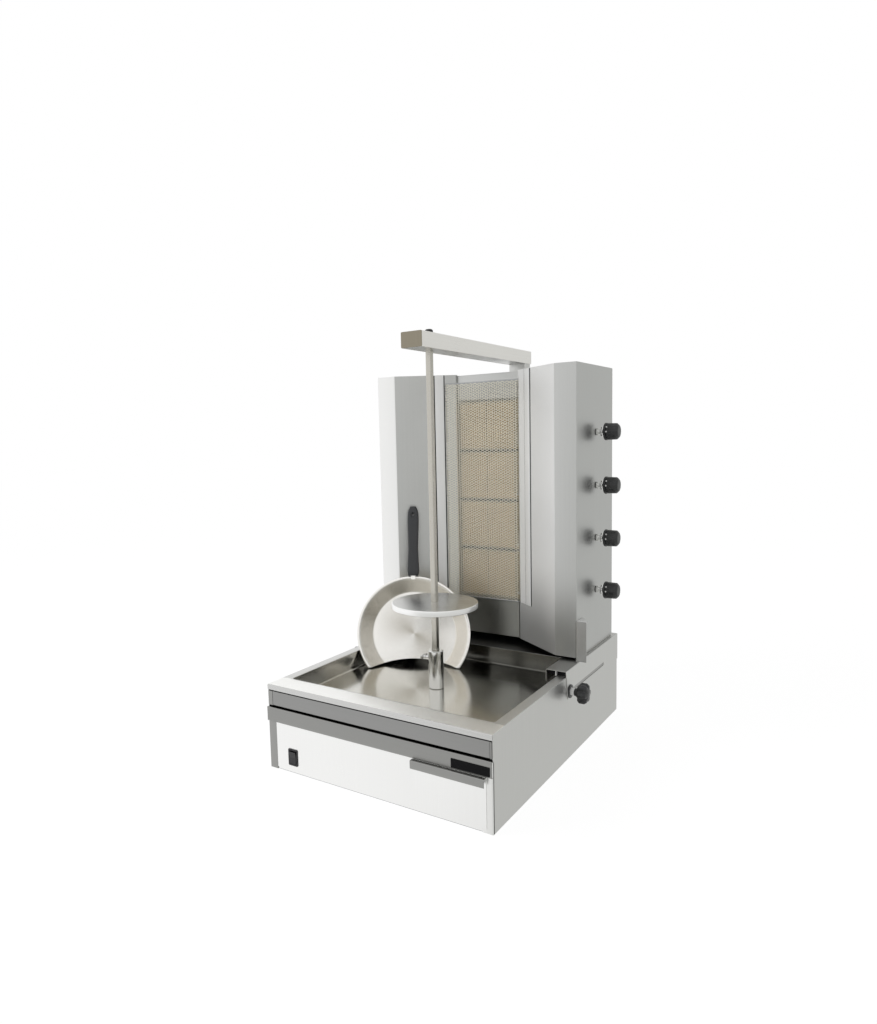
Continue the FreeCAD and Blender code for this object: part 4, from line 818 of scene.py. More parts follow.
def rim_and_pan():
    """Nested loops: rim edge, pan mouth, wall, floor, and rings that shrink to the shaft's hole."""
    low, high = ends("drip_tray")
    front = low[1] + 3
    mouth_front = low[1] + FRONT_RIM

    def inset(step, radius, height):
        """A loop that lies step inside the pan's mouth."""
        return loop(low[0] + SIDE_RIM + step, mouth_front + step, high[0] - SIDE_RIM - step,
                    mouth_front + PAN_LENGTH - step, radius, height)

    loops = [loop(low[0], front, high[0], high[1], 0.5, RIM_TOP)]
    for angle in np.linspace(0, pi / 2, 4):
        grow = PAN_LIP * (1 - sin(angle))
        loops.append(inset(-grow, PAN_CORNER + grow, RIM_TOP - PAN_LIP * (1 - cos(angle))))
    for angle in np.linspace(0, pi / 2, 6):
        height = PAN_FLOOR + PAN_FILLET * (1 - sin(angle))
        loops.append(inset(PAN_FILLET * (1 - cos(angle)), PAN_CORNER, height))
    edge = loops[-1]
    bearing = np.arctan2(edge[:, 1], edge[:, 0])
    level = np.full(len(edge), PAN_FLOOR)
    hole = np.stack([SHAFT_HOLE * np.cos(bearing), SHAFT_HOLE * np.sin(bearing), level], 1)
    for share in np.linspace(0, 1, FLOOR_RINGS)[1:]:
        ring = edge + (hole - edge) * share
        away = np.clip(np.hypot(ring[:, 0], ring[:, 1]) / DOME_REACH, 0, 1)
        ring[:, 2] += DOME_RISE * (1 - away**2) ** 2
        loops.append(ring)
    points = np.stack(loops)
    piece = make_piece("rim_and_pan", points, grid_faces(len(loops), points.shape[1], False, True))
    thicken(piece, GAUGE)
    drawer_low, drawer_high = ends("drawer_front")
    drain_at = ((drawer_low[0] + drawer_high[0]) / 2, DRAIN_BACK, 0)
    tool = turned("drain_tool", rod(DRAIN_BORE, PAN_FLOOR - 10, PAN_FLOOR + 10), drain_at, "Z", 0.1, 48)
    cut_away(piece, tool)
    stand_in(piece, "pan", "drip_tray")
    fold = [(front, RIM_TOP), (low[1], RIM_TOP), (low[1], RIM_TOP - RIM_FOLD)]
    add_to(folded("rim_front_fold", fold, 1, low[0], high[0], "X", 2), "rim", "base")
    under = PAN_FLOOR - 1
    outer = DRAIN_BORE + GAUGE
    spout = [(outer, under), (outer, low[2]), (DRAIN_BORE, low[2]), (DRAIN_BORE, under), (outer, under)]
    add_to(turned("drain_spout", spout, drain_at), "pan", "base")
    over = PAN_FLOOR + 0.6
    ring = [(DRAIN_BORE, under), (DRAIN_BORE, over), (DRAIN_BORE + 4, over), (DRAIN_BORE + 5, PAN_FLOOR)]
    add_to(turned("drain_ring", ring, drain_at, "Z", 0.2), "pan", "base")


rim_and_pan()

# %% [markdown]
# ## Grease drawer and switch
# The drawer's front is one sheet: it rises, folds forward over the fingers and drops again. The switch is a
# glossy rocker in a black frame. Its key is tapered behind, so that it clears the frame when it rocks.

# %% Drawer front and switch
LIP_DROP = 18
KEY_GAP = 0.6
KEY_TAPER = 0.78
KEY_SWELL = 2.6
KEY_TILT = 2.0


def drawer_front():
    """A face that folds forward at its top and drops again as a lip for the fingers."""
    low, high = ends("drawer_front")
    face = high[1] - GAUGE
    top = high[2] - GAUGE
    lip = low[1] + GAUGE
    path = [(face, low[2]), (face, top), (lip, top), (lip, high[2] - LIP_DROP)]
    stand_in(folded("drawer_front_sheet", path, -1, low[0], high[0], "X", 0.6), "fascia", "drawer_front")


def switch():
    """A frame with a round-cornered window, its box behind, and the key's two gently curved halves."""
    low, high = ends("switch_housing")
    key_low, key_high = ends("rocker")
    window = opening("rocker", KEY_GAP, 1.5)
    face = slab("switch_frame", low, (high[0], low[1] + 2.2, high[2]), "Y", 3, 0.7, [window])
    stand_in(face, "gloss_black", "switch_housing")
    box = slab("switch_case", low + 2, (high[0] - 2, high[1], high[2] - 2), "Y", 1.5, holes=[window])
    add_to(box, "black", "base")
    reach = (key_high[2] - key_low[2]) / 2 - KEY_GAP
    along = np.linspace(-1, 1, 25)
    front = key_low[1] + (1 - np.abs(along)) * KEY_SWELL - np.minimum(along, 0) * KEY_TILT
    heights = (key_low[2] + key_high[2]) / 2 + np.concatenate([along, along[::-1] * KEY_TAPER]) * reach
    outline = np.stack([np.concatenate([front, np.full(25, low[1] + 9)]), heights], 1)
    stand_in(plate("switch_key_cap", [outline], key_low[0], key_high[0], "X", 0.5), "gloss_black", "rocker")


drawer_front()
switch()

# %% [markdown]
# ## Spindle
# A chromed coupler holds the square skewer with a wing screw. The disc that carries the meat is an upturned
# dish, with a rounded rim that shows as one bright line, painted into its colour as a highlight.

# %% Coupler, skewer, disc and wing screw
DISC_SHEET = 4
DISC_RIM = 14
SCREW_SHANK = 3.9


def spindle():
    """The coupler's sleeve, the square bar and the upturned dish."""
    low, high = ends("drive_coupler")
    radius, top = high[0], high[2]
    bore = 10.1
    profile = [(0, low[2]), (radius - 1, low[2]), (radius, low[2] + 1.5), (radius, top - 2.5),
               (radius - 2, top), (bore, top), (bore, top - 6), (0, top - 6)]
    stand_in(turned("coupler_sleeve", profile, (0, 0, 0), "Z", 0.8, 96), "chrome", "drive_coupler")
    low, high = ends("skewer_bar")
    stand_in(slab("skewer_square_bar", low, high, "Z", 1.6, 0.6), "bar", "skewer_bar")
    half = high[0]
    low, high = ends("meat_disc")
    edge, top = high[0], high[2]
    under = top - DISC_SHEET
    profile = [(half, low[2]), (22, low[2]), (24, under), (edge - DISC_SHEET, under),
               (edge - DISC_SHEET, top - DISC_RIM), (edge, top - DISC_RIM), (edge, top), (half, top)]
    stand_in(turned("meat_disc_dish", profile, (0, 0, 0), "Z", 1.9, 144), "disc", "meat_disc")


def wing_screw():
    """A thumb screw: a shank, a boss and two thin wings that spread from it."""
    low, high = ends("wing_screw")
    start = low[0]
    middle = (low[2] + high[2]) / 2
    at = (0, 0, middle)
    shank = turned("screw_shank", rod(SCREW_SHANK, start, high[0]), at, "X", 0.4, 32)
    stand_in(shank, "chrome", "wing_screw")
    boss = [(0, start), (6, start), (5, start + 9), (0, start + 9)]
    add_to(turned("screw_boss", boss, at, "X", 0.8, 32), "chrome", "lock_screw")
    share = np.linspace(0, 1, 12)
    half = 3.2 + 1.8 * np.sin(share * pi)
    for word, side in (("rear", 1), ("front", -1)):
        outline = there_and_back(share * high[1] * side, middle + half, middle - half)
        add_to(plate(f"screw_wing_{word}", [outline], start, start + 4, "X", 0.8), "chrome", "lock_screw")


spindle()
wing_screw()
dress("bar", "drive_shaft")
dress("bolt", "shaft_bush")

# %% [markdown]
# ## Overhead arm
# The arm is a box tube with a cap at each end. It stands over the skewer on a post behind the cabinet. A
# pin with a small black knob drops through it into the bar.

# %% Arm, post and pin
ARM_CAP = 2
ARM_FLOOR_BACK = 500
FOOT_HIGH = 150
FOOT_BOLT_X = 52
FOOT_BOLT_IN = 18


def overhead():
    """A tube that is open below, the plate that closes it, two caps, the post and its foot with four
    bolts."""
    low, high = ends("top_arm")
    path = [(low[0], low[2]), (low[0], high[2]), (high[0], high[2]), (high[0], low[2])]
    start, stop = low[1] + ARM_CAP, high[1] - ARM_CAP
    stand_in(folded("arm_tube", path, -1, start, stop, "Y", 2.5, 2), "arm", "top_arm")
    corner, other = (low[0] + ARM_CAP, start, low[2] + 0.5), (high[0] - ARM_CAP, ARM_FLOOR_BACK, low[2] + 2)
    add_to(slab("arm_floor", corner, other, "Z"), "side", "base")
    for word, at, finish in (("front", low[1], "arm_end"), ("rear", stop, "side")):
        corner, other = (low[0], at, low[2]), (high[0], at + ARM_CAP, high[2])
        add_to(slab(f"arm_{word}_cap", corner, other, "Y", 2.5, 0.5), finish, "base")
    half = high[0] - 2.3
    low, high = ends("arm_post")
    back = high[1]
    front = ends("back_panel")[1][1] + 5
    corners = [(-half, front), (half, front), (half, back), (-half, back)]
    stand_in(folded("post_tube", corners, 1, low[2], high[2], "Z", 3, 2, True), "side", "arm_post")
    top = low[2] + FOOT_HIGH
    add_to(slab("post_foot_plate", low, (high[0], front, top), "Y", 6), "side", "base")
    heights = (low[2] + FOOT_BOLT_IN, top - FOOT_BOLT_IN)
    places = [(x, z) for x in (-FOOT_BOLT_X, FOOT_BOLT_X) for z in heights]
    for i, (x, z) in enumerate(places):
        add_to(hexagon(f"post_bolt_{i + 1}", 7, (x, front, z), 5, "Y"), "bolt", "base")


def release_pin():
    """A pin with a pointed end under a round knob with a chamfered top."""
    low, high = ends("top_pin")
    radius, top = high[0], high[2]
    under = ends("top_arm")[1][2] + 0.3
    profile = [(0, low[2]), (4, low[2]), (5, low[2] + 2), (5, under), (radius, under), (radius, top - 3),
               (radius - 3, top), (0, top)]
    stand_in(turned("pin_with_knob", profile, (0, 0, 0), "Z", 1, 48), "black", "top_pin")


overhead()
release_pin()
dress("nylon", "arm_bush")

# %% [markdown]
# ## Hand knobs that clamp the tower
# Each knob is a star of six lobes. Its radius swings with the angle round the axis, but only on the head,
# so the hub behind it stays round.

# %% Clamp knobs and studs
KNOB_HUB = 10
KNOB_RIM = 25
THREAD_PITCH = 1.25


def star(angle, spread):
    """Six lobes: the dip between them grows from nothing at the hub to a quarter of the radius at the
    rim."""
    share = np.clip((spread - KNOB_HUB) / KNOB_HUB, 0, 1)
    wave = 0.5 + 0.5 * np.cos(6 * angle)
    return spread * (1 - 0.26 * share * (1 - wave) ** 1.6)


def clamp_knobs():
    """On each side a star with a hub towards the stud, and a glossy cap over its middle."""
    for node, side, low, high, _, inner in twins("clamp_knob"):
        axis = "X" if side > 0 else "-X"
        length = high[0] - low[0]
        centre = (inner, (low[1] + high[1]) / 2, (low[2] + high[2]) / 2)
        shoulder = KNOB_RIM - 4
        profile = [(4.2, 0), (8, 0), (9.5, 2), (KNOB_HUB, 9), (shoulder, 10.5), (KNOB_RIM, 15),
                   (KNOB_RIM, length - 8), (shoulder, length - 2.5), (9, length), (0, length)]
        stand_in(turned(node + "_star", profile, centre, axis, 3, 144, star), "black", node)
        cap = [(0, length - 0.4), (7.5, length - 0.4), (7.5, length + 0.2), (0, length + 0.4)]
        add_to(turned(node + "_cap", cap, centre, axis, 0.3, 48), "gloss_black", body_name(node))


def studs():
    """For each side: threaded stud, a washer against the skirt and a hexagon nut on it."""
    low, high = ends("clamp_studs")
    face = ends("carriage_right")[1][0]
    length = high[0] - face
    thread = [(0, 0)]
    for turn in np.arange(0, length - 1, THREAD_PITCH):
        thread += [(4, turn), (3.5, turn + 0.6)]
    thread += [(3.5, length), (0, length)]
    for word, side, axis in (("right", 1, "X"), ("left", -1, "-X")):
        centre = np.array((side * face, (low[1] + high[1]) / 2, (low[2] + high[2]) / 2))
        stud = turned(f"stud_thread_{word}", thread, centre, axis, 0.05, 32)
        one_of_two(stud, "bolt", "clamp_studs", side)
        add_to(turned(f"stud_washer_{word}", rod(16.5, 0.3, 2.3), centre, axis, 0.4, 64), "black", "base")
        nut = hexagon(f"stud_nut_{word}", 10, centre + (side * 2.4, 0, 0), 9, axis)
        add_to(nut, "rail", "base", "galvanised")


clamp_knobs()
studs()

# %% [markdown]
# ## Carriages and their brackets
# The tower slides forward and back on two folded channels. The skirt outside has a long slot for the
# clamp's stud, so it is drawn flat with its slot and its slanted front end, and the top and inner leg are
# one folded sheet.

# %% Carriages, glides and foot brackets
SLOT_HALF = 4.3
SLOT_LENGTH = 255
SKIRT_SLANT = 12
CHANNEL_LEG = 30


def carriages():
    """On each side a channel, a black plug inside its front end as painted shade, a bright rib there, and
    the skirt with a shaded slot."""
    base_back = ends("back_panel")[1][1]
    stud_low, stud_high = ends("clamp_studs")
    front = (stud_low[1] + stud_high[1]) / 2 - SLOT_HALF
    back = front + SLOT_LENGTH
    slot_low, slot_high = (stud_low[2] + stud_high[2]) / 2 + np.array((-SLOT_HALF, SLOT_HALF))
    under = RIM_TOP + 1.2
    for node, side, low, high, outer, inner in twins("carriage"):
        nose, top = low[1], high[2]
        path = [(inner, top - CHANNEL_LEG), (inner, top), (outer - side * 1.7, top)]
        stand_in(folded(node + "_channel", path, -side, nose, high[1], "Y"), "carriage", node)
        # A black plug as painted shade inside the channel's open front end.
        corner, other = (inner + side * 2.5, nose + 9, under), (outer - side * 3.5, nose + 12, top - 2.2)
        add_to(slab(node + "_plug", corner, other, "Y", 0.6), "lacquer", "tower")
        corner, other = (inner + side * 24, nose + 1, under), (inner + side * 26, nose + 9, top - 1.8)
        add_to(slab(node + "_rib", corner, other, "X", 0.4), "rail", "tower")
        corner = (outer - side * (GAUGE + 0.05), front - 1, slot_low - 1)
        other = (outer - side * (GAUGE + 0.2), back + 1, slot_high + 1)
        add_to(slab(node + "_slot_shade", corner, other, "X", 0.5, 0.03), "bracket", "tower")
        slot = rounded([(front, slot_low), (back, slot_low), (back, slot_high), (front, slot_high)],
                       SLOT_HALF * 0.99, True, 9)[0]
        corners = [(nose, top), (nose + SKIRT_SLANT, low[2]), (base_back, low[2]), (base_back, top)]
        outline = rounded(corners, 1, True)[0]
        skirt_low, skirt_high = sorted((outer, outer - side * GAUGE))
        add_to(plate(node + "_skirt", [outline, slot], skirt_low, skirt_high, "X"), "side", "tower")


def brackets():
    """On each side an angle with its top cap, and the tower's footing that closes the gap over the
    carriage."""
    low, high = ends("foot_brackets")
    gap_low = ends("carriage_right")[1][2] + 0.3
    tower_low, tower_high = ends("wing_right")
    for word, side in (("right", 1), ("left", -1)):
        tower = tower_high[0] * side
        out = high[0] * side
        path = [(out, low[1]), (tower, low[1]), (tower, high[1])]
        piece = folded(f"foot_bracket_{word}", path, side, low[2], high[2], "Z", 3.2, 3)
        one_of_two(piece, "bracket", "foot_brackets", side)
        cap = [(tower, low[1]), (out, low[1]), (out, low[1] + 4), (tower + side * 2, high[1]),
               (tower, high[1])]
        add_to(plate(f"foot_bracket_cap_{word}", [cap], high[2] - 2, high[2], "Z", 0.4), "rail", "tower")
        footing = slab(f"tower_footing_{word}", (tower - side * 1, tower_low[1] + 6, gap_low),
                       (tower - side * 3, tower_high[1] - 2, tower_low[2] + 3), "X", 0.5)
        add_to(footing, "side", "tower")


carriages()
brackets()
dress("nylon", "glide_blocks")

# %% [markdown]
# ## Burner tower
# Two wings wrap the burners. Each is one sheet that runs along the side, across a narrow front face and
# back along the angled face to the burners, where it ends in a small hem.

# %% Wings, covers and panels
WING_FRONT = 57.5
FACE_ANGLE = radians(35.3)
PANEL_BACK = ends("upper_panel")[1][1]
RECESS = PANEL_BACK - 9.5
WING_INNER = ends("wing_right")[0][0]
LOUVRES = 6
LOUVRE_PITCH = 18
RAIL_FROM, RAIL_TO, RAIL_RISE = 32, 63, 2.2


def wings():
    """Each wing's path: side, narrow front face, angled face and the hem beside the burners."""
    for node, side, low, high, outer, inner in twins("wing"):
        path = [(outer, high[1]), (outer, low[1]), (outer - side * WING_FRONT, low[1]), (inner, RECESS),
                (inner, PANEL_BACK)]
        stand_in(folded(node + "_sheet", path, -side, low[2], high[2], "Z", 2.4), "wing", node)


def tower_covers():
    """The rear cover with its louvres and gas inlet, and the panels over and under the burners."""
    low, high = ends("rear_cover")
    tops = [high[2] - 54 - i * LOUVRE_PITCH for i in range(LOUVRES)]
    holes = [rectangle(-180, top - 6, 180, top, 2.8) for top in tops]
    angle = np.linspace(0, 2 * pi, 28, endpoint=False)
    holes.append(np.stack([237 + 10.5 * np.cos(angle), low[2] + 50 + 10.5 * np.sin(angle)], 1))
    stand_in(slab("rear_cover_sheet", low, high, "Y", 2, holes=holes), "side", "rear_cover")
    stand_in(slab("upper_panel_sheet", *ends("upper_panel"), "Y"), "roof", "upper_panel")
    low, high = ends("lower_panel")
    face = high[1] - GAUGE
    path = [(face, low[2]), (face, high[2]), (low[1], high[2])]
    stand_in(folded("lower_panel_sheet", path, -1, low[0], high[0], "X", 2.4), "smoked", "lower_panel")
    for word, side in (("right", 1), ("left", -1)):
        path = [(high[0] * side, low[1]), (high[0] * side, face + 0.5)]
        hem = folded(f"lower_panel_hem_{word}", path, side, low[2], high[2] - 2, "Z")
        add_to(hem, "smoked", "tower")


def rails():
    """On each angled face a shallow hat-shaped strip over a black strip whose edges show as painted shadow
    on both sides, and on the right a border."""
    low, high = ends("guard_rails")
    for word, side in (("right", 1), ("left", -1)):
        def strip(name, stops, gauge=0.8):
            """A sheet through places on the angled face: each its distance from the inner edge and its
            height."""
            path = []
            for distance, out in stops:
                across = WING_INNER + distance * cos(FACE_ANGLE) - out * sin(FACE_ANGLE)
                path.append((side * across, RECESS - distance * sin(FACE_ANGLE) - out * cos(FACE_ANGLE)))
            return folded(name, path, side, low[2], high[2], "Z", 0.9, gauge)
        start, stop = RAIL_FROM + 3, RAIL_TO - 3
        crown = [(start, 0.4), (start, RAIL_RISE), (stop, RAIL_RISE), (stop, 0.4)]
        one_of_two(strip(f"guard_rail_{word}", crown), "rail", "guard_rails", side)
        if side > 0:
            add_to(strip("guard_border_right", [(6, 1.0), (RAIL_FROM, 1.0)]), "rail", "tower")
        # A black strip under the rail, as painted shadow in the gaps at its sides.
        add_to(strip(f"rail_shadow_strip_{word}", [(RAIL_FROM, 0.3), (RAIL_TO, 0.3)], 0.3), "lacquer", "tower")


wings()
tower_covers()
rails()
dress("roof", "tower_roof")
dress("zinc", "burner_rails")
# The tower's floor is black as painted shade, so that the pan under it mirrors it dark.
dress("lacquer", "tower_floor")

# %% [markdown]
# ## Expanded mesh guard
# Expanded metal is slit and pulled, so each strand runs as a zigzag and touches the next at its knees.
# Strand j is the height z = z0 + j * pitch + swing * zigzag(x), with every second strand turned over. The
# path it follows runs along the left return, across the burners and along the right return.

# %% Mesh guard
MESH_LONG = 14
MESH_SHORT = 7
STRAND = 1.7
RETURN_LEFT = 31
RETURN_RIGHT = 5


def mesh_guard():
    """All strands as one mesh of square rods along the bend, and a border strip at each end."""
    low, high = ends("mesh_guard")
    inner = WING_INNER - 1
    face = RECESS - 0.48
    across, forward = cos(FACE_ANGLE), sin(FACE_ANGLE)
    bend = np.array([(-inner - RETURN_LEFT * across, face - RETURN_LEFT * forward), (-inner, face),
                     (inner, face), (inner + RETURN_RIGHT * across, face - RETURN_RIGHT * forward)])
    mileage = np.concatenate([[0], np.cumsum(np.linalg.norm(np.diff(bend, axis=0), axis=1))])
    knees = int(round(mileage[-1] / (MESH_LONG / 2)))
    travel = np.linspace(0, mileage[-1], knees + 1)
    rows = int((high[2] - low[2] - STRAND) / MESH_SHORT * 2)
    strand = np.arange(rows)
    swing = MESH_SHORT / 4 * np.where(np.arange(knees + 1) % 2 == 0, 1, -1)
    middle = low[2] + STRAND / 2 + MESH_SHORT / 4 + strand[:, None] * MESH_SHORT / 2
    z = middle + swing[None, :] * np.where(strand % 2 == 0, 1, -1)[:, None]
    x = np.broadcast_to(np.interp(travel, mileage, bend[:, 0]), z.shape)
    y = np.broadcast_to(np.interp(travel, mileage, bend[:, 1]), z.shape)
    half = STRAND / 2
    around = ((-1, -1), (1, -1), (1, 1), (-1, 1))
    corners = [np.stack([x, y + deep * half, z + up * half], -1) for up, deep in around]
    starts = strand[:, None, None] * (knees + 1) * 4
    caps = np.array([(0, 1, 2, 3), knees * 4 + np.arange(4)])
    sides = grid_faces(knees + 1, 4, False, True)
    faces = np.vstack([(sides + starts).reshape(-1, 4), (caps + starts).reshape(-1, 4)])
    stand_in(make_piece("mesh_guard_expanded", np.stack(corners, 2), faces), "mesh", "mesh_guard")
    for word, height in (("top", high[2] - 1.2), ("bottom", low[2] + 1.2)):
        border = folded(f"mesh_border_{word}", bend, -1, height - 1.2, height + 1.2, "Z", 1.5, 1.2)
        add_to(border, "zinc", "tower")


mesh_guard()

# %% [markdown]
# ## Burners
# Behind the guard stand four ceramic burners. Their steel boxes are tinted by heat, and small screws hold
# the strip that clips the plaques in.

# %% Burners and gas fittings
BURNERS = 4
BURNER_GAP = 3.6


def burner_details():
    """Two screws on each burner, and a dark rope of ceramic fibre in each gap: it swells and narrows
    along X."""
    low, high = ends("burner_boxes")
    pitch = (high[2] - low[2] + BURNER_GAP) / BURNERS
    head = [(0, 0), (3.2, 0), (3.2, -0.8), (2.2, -2.0), (0, -2.2)]
    for i in range(BURNERS):
        for j, share in enumerate((0.28, 0.74)):
            at = (high[0] - 8, low[1], low[2] + (i + share) * pitch)
            add_to(turned(f"burner_screw_{i + 1}_{j + 1}", head, at, "Y", 0.4, 24), "bolt", "tower")
    along = np.linspace(low[0] + 2, high[0] - 2, 90)
    swell = 2.8 + 0.9 * np.sin(along / 1.3)
    for i in range(1, BURNERS):
        middle = low[2] + i * pitch - BURNER_GAP / 2
        outline = there_and_back(along, middle + swell, middle - swell)
        add_to(plate(f"burner_gasket_{i}", [outline], low[1] - 1.2, low[1] + 6, "Y", 0.2), "rope", "tower")


def rear_seal():
    """A wiper strip that closes the gap between the tower's back and the rim."""
    low, high = ends("rear_cover")
    corner, other = (low[0] + 42, low[1] - 3.5, RIM_TOP + 1.5), (high[0] - 42, low[1] - 0.5, low[2] + 4)
    add_to(slab("rear_wiper", corner, other, "Y"), "lacquer", "tower")


burner_details()
rear_seal()
dress("burner", "burner_boxes")
dress("ceramic", "ceramic_plaques")
dress("bolt", "flame_probes")
dress("brass", "gas_valves")
dress("zinc", "gas_manifold")

# %% [markdown]
# ## Gas knobs
# Each knob is black plastic with a skirt at the back, shallow flutes for the fingers and a rounded nose.
# Two small white marks sit on the grip, and a thin dark washer closes the hole behind the stem.

# %% Gas knobs and stems
GRIP = 22
MARK_BEARINGS = (radians(180), radians(147))


def fluted(angle, spread):
    """Sixteen shallow flutes, deepest at the rim of the grip."""
    share = np.clip((spread - 11) / 11, 0, 1)
    return spread - 0.6 * share * (0.5 - 0.5 * np.cos(16 * angle)) ** 3


def gas_knobs():
    """For each of the four: skirt, fluted grip, marks, and the washer, nut and ring at its stem."""
    panel = ends("wing_right")[1][0]
    skirt = [(4.2, 0), (GRIP, 0), (GRIP + 0.4, 1.5), (GRIP + 0.4, 4.5), (GRIP - 1.5, 5.5), (4.2, 5.5)]
    dot = [(0, -1.6), (1.6, -1.2), (2.2, 0.0), (1.6, 1.2), (0, 1.6)]
    collar = [(0, 0.1), (8.5, 0.1), (8.5, 1.4), (6, 2.2), (0, 2.2)]
    bezel = [(0, 6.5), (6, 6.5), (6, 11), (13, 14), (13.5, 16), (11, 17), (6, 16), (0, 16)]
    for i in range(1, 5):
        low, high = ends(f"gas_knob_{i}")
        x, y, z = low[0], (low[1] + high[1]) / 2, (low[2] + high[2]) / 2
        length = high[0] - low[0]
        stand_in(turned(f"gas_knob_skirt_{i}", skirt, (x, y, z), "X", 0.5, 96), "black", f"gas_knob_{i}")
        grip = [(4.2, 5), (GRIP - 0.6, 5.2), (GRIP - 1.2, length - 6), (GRIP - 7, length - 0.6),
                (9, length), (0, length)]
        add_to(turned(f"gas_knob_grip_{i}", grip, (x, y, z), "X", 2.6, 160, fluted), "black", f"knob_{i}")
        for j, bearing in enumerate(MARK_BEARINGS):
            at = (x + 8, y + (GRIP - 0.6) * cos(bearing), z + (GRIP - 0.6) * sin(bearing))
            add_to(turned(f"gas_knob_mark_{i}_{j + 1}", dot, at, "Y", 0.3, 20), "white", f"knob_{i}")
        add_to(turned(f"stem_collar_{i}", collar, (panel, y, z), "X", 0.4, 48), "black", "tower")
        add_to(hexagon(f"stem_nut_{i}", 9, (panel + 2, y, z), 5, "X"), "bolt", "tower")
        ring = turned(f"stem_bezel_{i}", bezel, (panel, y, z), "X", 0.8, 48)
        add_to(ring, "chrome", "tower", "galvanised")
        dress("chrome", f"valve_stem_{i}")


gas_knobs()

# %% [markdown]
# ## Meat scoop
# The scoop is spun from bright sheet: a flat floor, a sloping wall and a rolled rim, with a curved bite out
# of the lower edge so that it fits round the meat. In its own frame it is z(r) for each bearing, and the
# radius stops either at the rim or at the bite's circle, whichever comes first. It leans on the left wing.

# %% Scoop pan and handle
SCOOP_RADIUS = 157
SCOOP_FLOOR = 116
SCOOP_DEPTH = 34
SCOOP_RISE = 97
BITE_RISE = 28
FLOOR_ROWS, WALL_ROWS, SCOOP_AROUND = 14, 46, 240
GRIP_ROWS, GRIP_AROUND = 60, 48
SCOOP_TURN = radians(28.3)
SCOOP_LEAN = radians(16.9)
SCOOP_LEFT = 132
SCOOP_BACK = 100
HANDLE_LENGTH = 212
FAN_BEARING = radians(55)
SCOOP_AT = Vector((-SCOOP_LEFT - SCOOP_RISE * sin(SCOOP_LEAN) * sin(SCOOP_TURN),
                   SCOOP_BACK + SCOOP_RISE * sin(SCOOP_LEAN) * cos(SCOOP_TURN),
                   PAN_FLOOR + 0.3 + SCOOP_RISE * cos(SCOOP_LEAN) + 2 * sin(SCOOP_LEAN))) * MM
SCOOP_PLACE = (Matrix.Translation(SCOOP_AT) @ Matrix.Rotation(SCOOP_TURN, 4, "Z")
               @ Matrix.Rotation(pi / 2 - SCOOP_LEAN, 4, "X"))


def spun_painted_fans(finish, sheen, places):
    """Painted highlight and painted shade in fans from the middle, as fine spun rings show them: a wave of
    twice the bearing, which fades from the middle outwards, and a wall painted darker as shade."""
    across, along, away = from_axis(finish, places)
    wave = finish.maths("COSINE", finish.maths("ARCTAN2", along, across) * 2 - 2 * FAN_BEARING)
    floor, edge = SCOOP_FLOOR * MM, SCOOP_RADIUS * MM
    near = finish.ramp(away, floor, 0.01)
    # Painted highlight and painted shade in fans round the middle.
    shaded = finish.blend((0.5 - wave * 0.5) * (near * 0.72 + 0.10), sheen, tone((0.42, 0.39, 0.33)))
    wall = finish.ramp(away, floor - 0.004, floor + 0.004)
    rim = finish.ramp(away, edge - 0.012, edge - 0.008)
    # The wall is painted darker as painted shade.
    return finish.blend(wall * 0.50 * (1 - rim), shaded, tone((0.66, 0.61, 0.52)))


def set_scoop(piece):
    """Moves a mesh from the scoop's own frame to its place, in its points."""
    piece.data.transform(SCOOP_PLACE)
    piece.data.update()
    return piece


def scoop_pan():
    """A polar grid: each bearing's radius runs from 0 to the rim or the bite, and the height follows the
    profile."""
    bite_radius = (SCOOP_RADIUS**2 - SCOOP_RISE**2 + BITE_RISE**2) / (2 * BITE_RISE)
    bite_middle = -SCOOP_RISE + BITE_RISE - bite_radius
    flat, _ = rounded([(0, -SCOOP_DEPTH), (SCOOP_FLOOR, -SCOOP_DEPTH), (SCOOP_RADIUS - 9, -3),
                       (SCOOP_RADIUS - 6, 0), (SCOOP_RADIUS, 0), (SCOOP_RADIUS, -2.5)], 2.4, steps=7)
    bearing = np.linspace(-pi / 2, 3 * pi / 2, SCOOP_AROUND, endpoint=False)
    down = -np.sin(bearing)
    inside = np.clip(bite_radius**2 - (bite_middle * np.cos(bearing)) ** 2, 0, None)
    reach = -bite_middle * down - np.sqrt(inside)
    limit = np.where((down > 0) & (reach > 0) & (inside > 0), np.minimum(reach, SCOOP_RADIUS), SCOOP_RADIUS)
    length = np.concatenate([[0], np.cumsum(np.linalg.norm(np.diff(flat, axis=0), axis=1))])
    travel = np.concatenate([np.linspace(0, length[1] * 0.97, FLOOR_ROWS),
                             np.linspace(length[1] * 0.98, length[-1], WALL_ROWS)])
    full_r = np.interp(travel, length, flat[:, 0])
    full_z = np.interp(travel, length, flat[:, 1])
    spread = np.minimum(full_r[:, None], limit[None, :])
    rising = np.maximum.accumulate(full_r + np.arange(len(travel)) * 1e-6)
    grow = np.interp(spread, rising, full_z)
    height = np.where(full_r[:, None] <= limit[None, :], full_z[:, None], grow)
    points = np.stack([spread * np.cos(bearing), spread * np.sin(bearing), height], -1)
    piece = make_piece("scoop_bowl", points, grid_faces(len(travel), SCOOP_AROUND, False, True))
    thicken(piece, GAUGE)
    stand_in(set_scoop(soften(piece, 0.3)), "scoop", "scoop_pan")


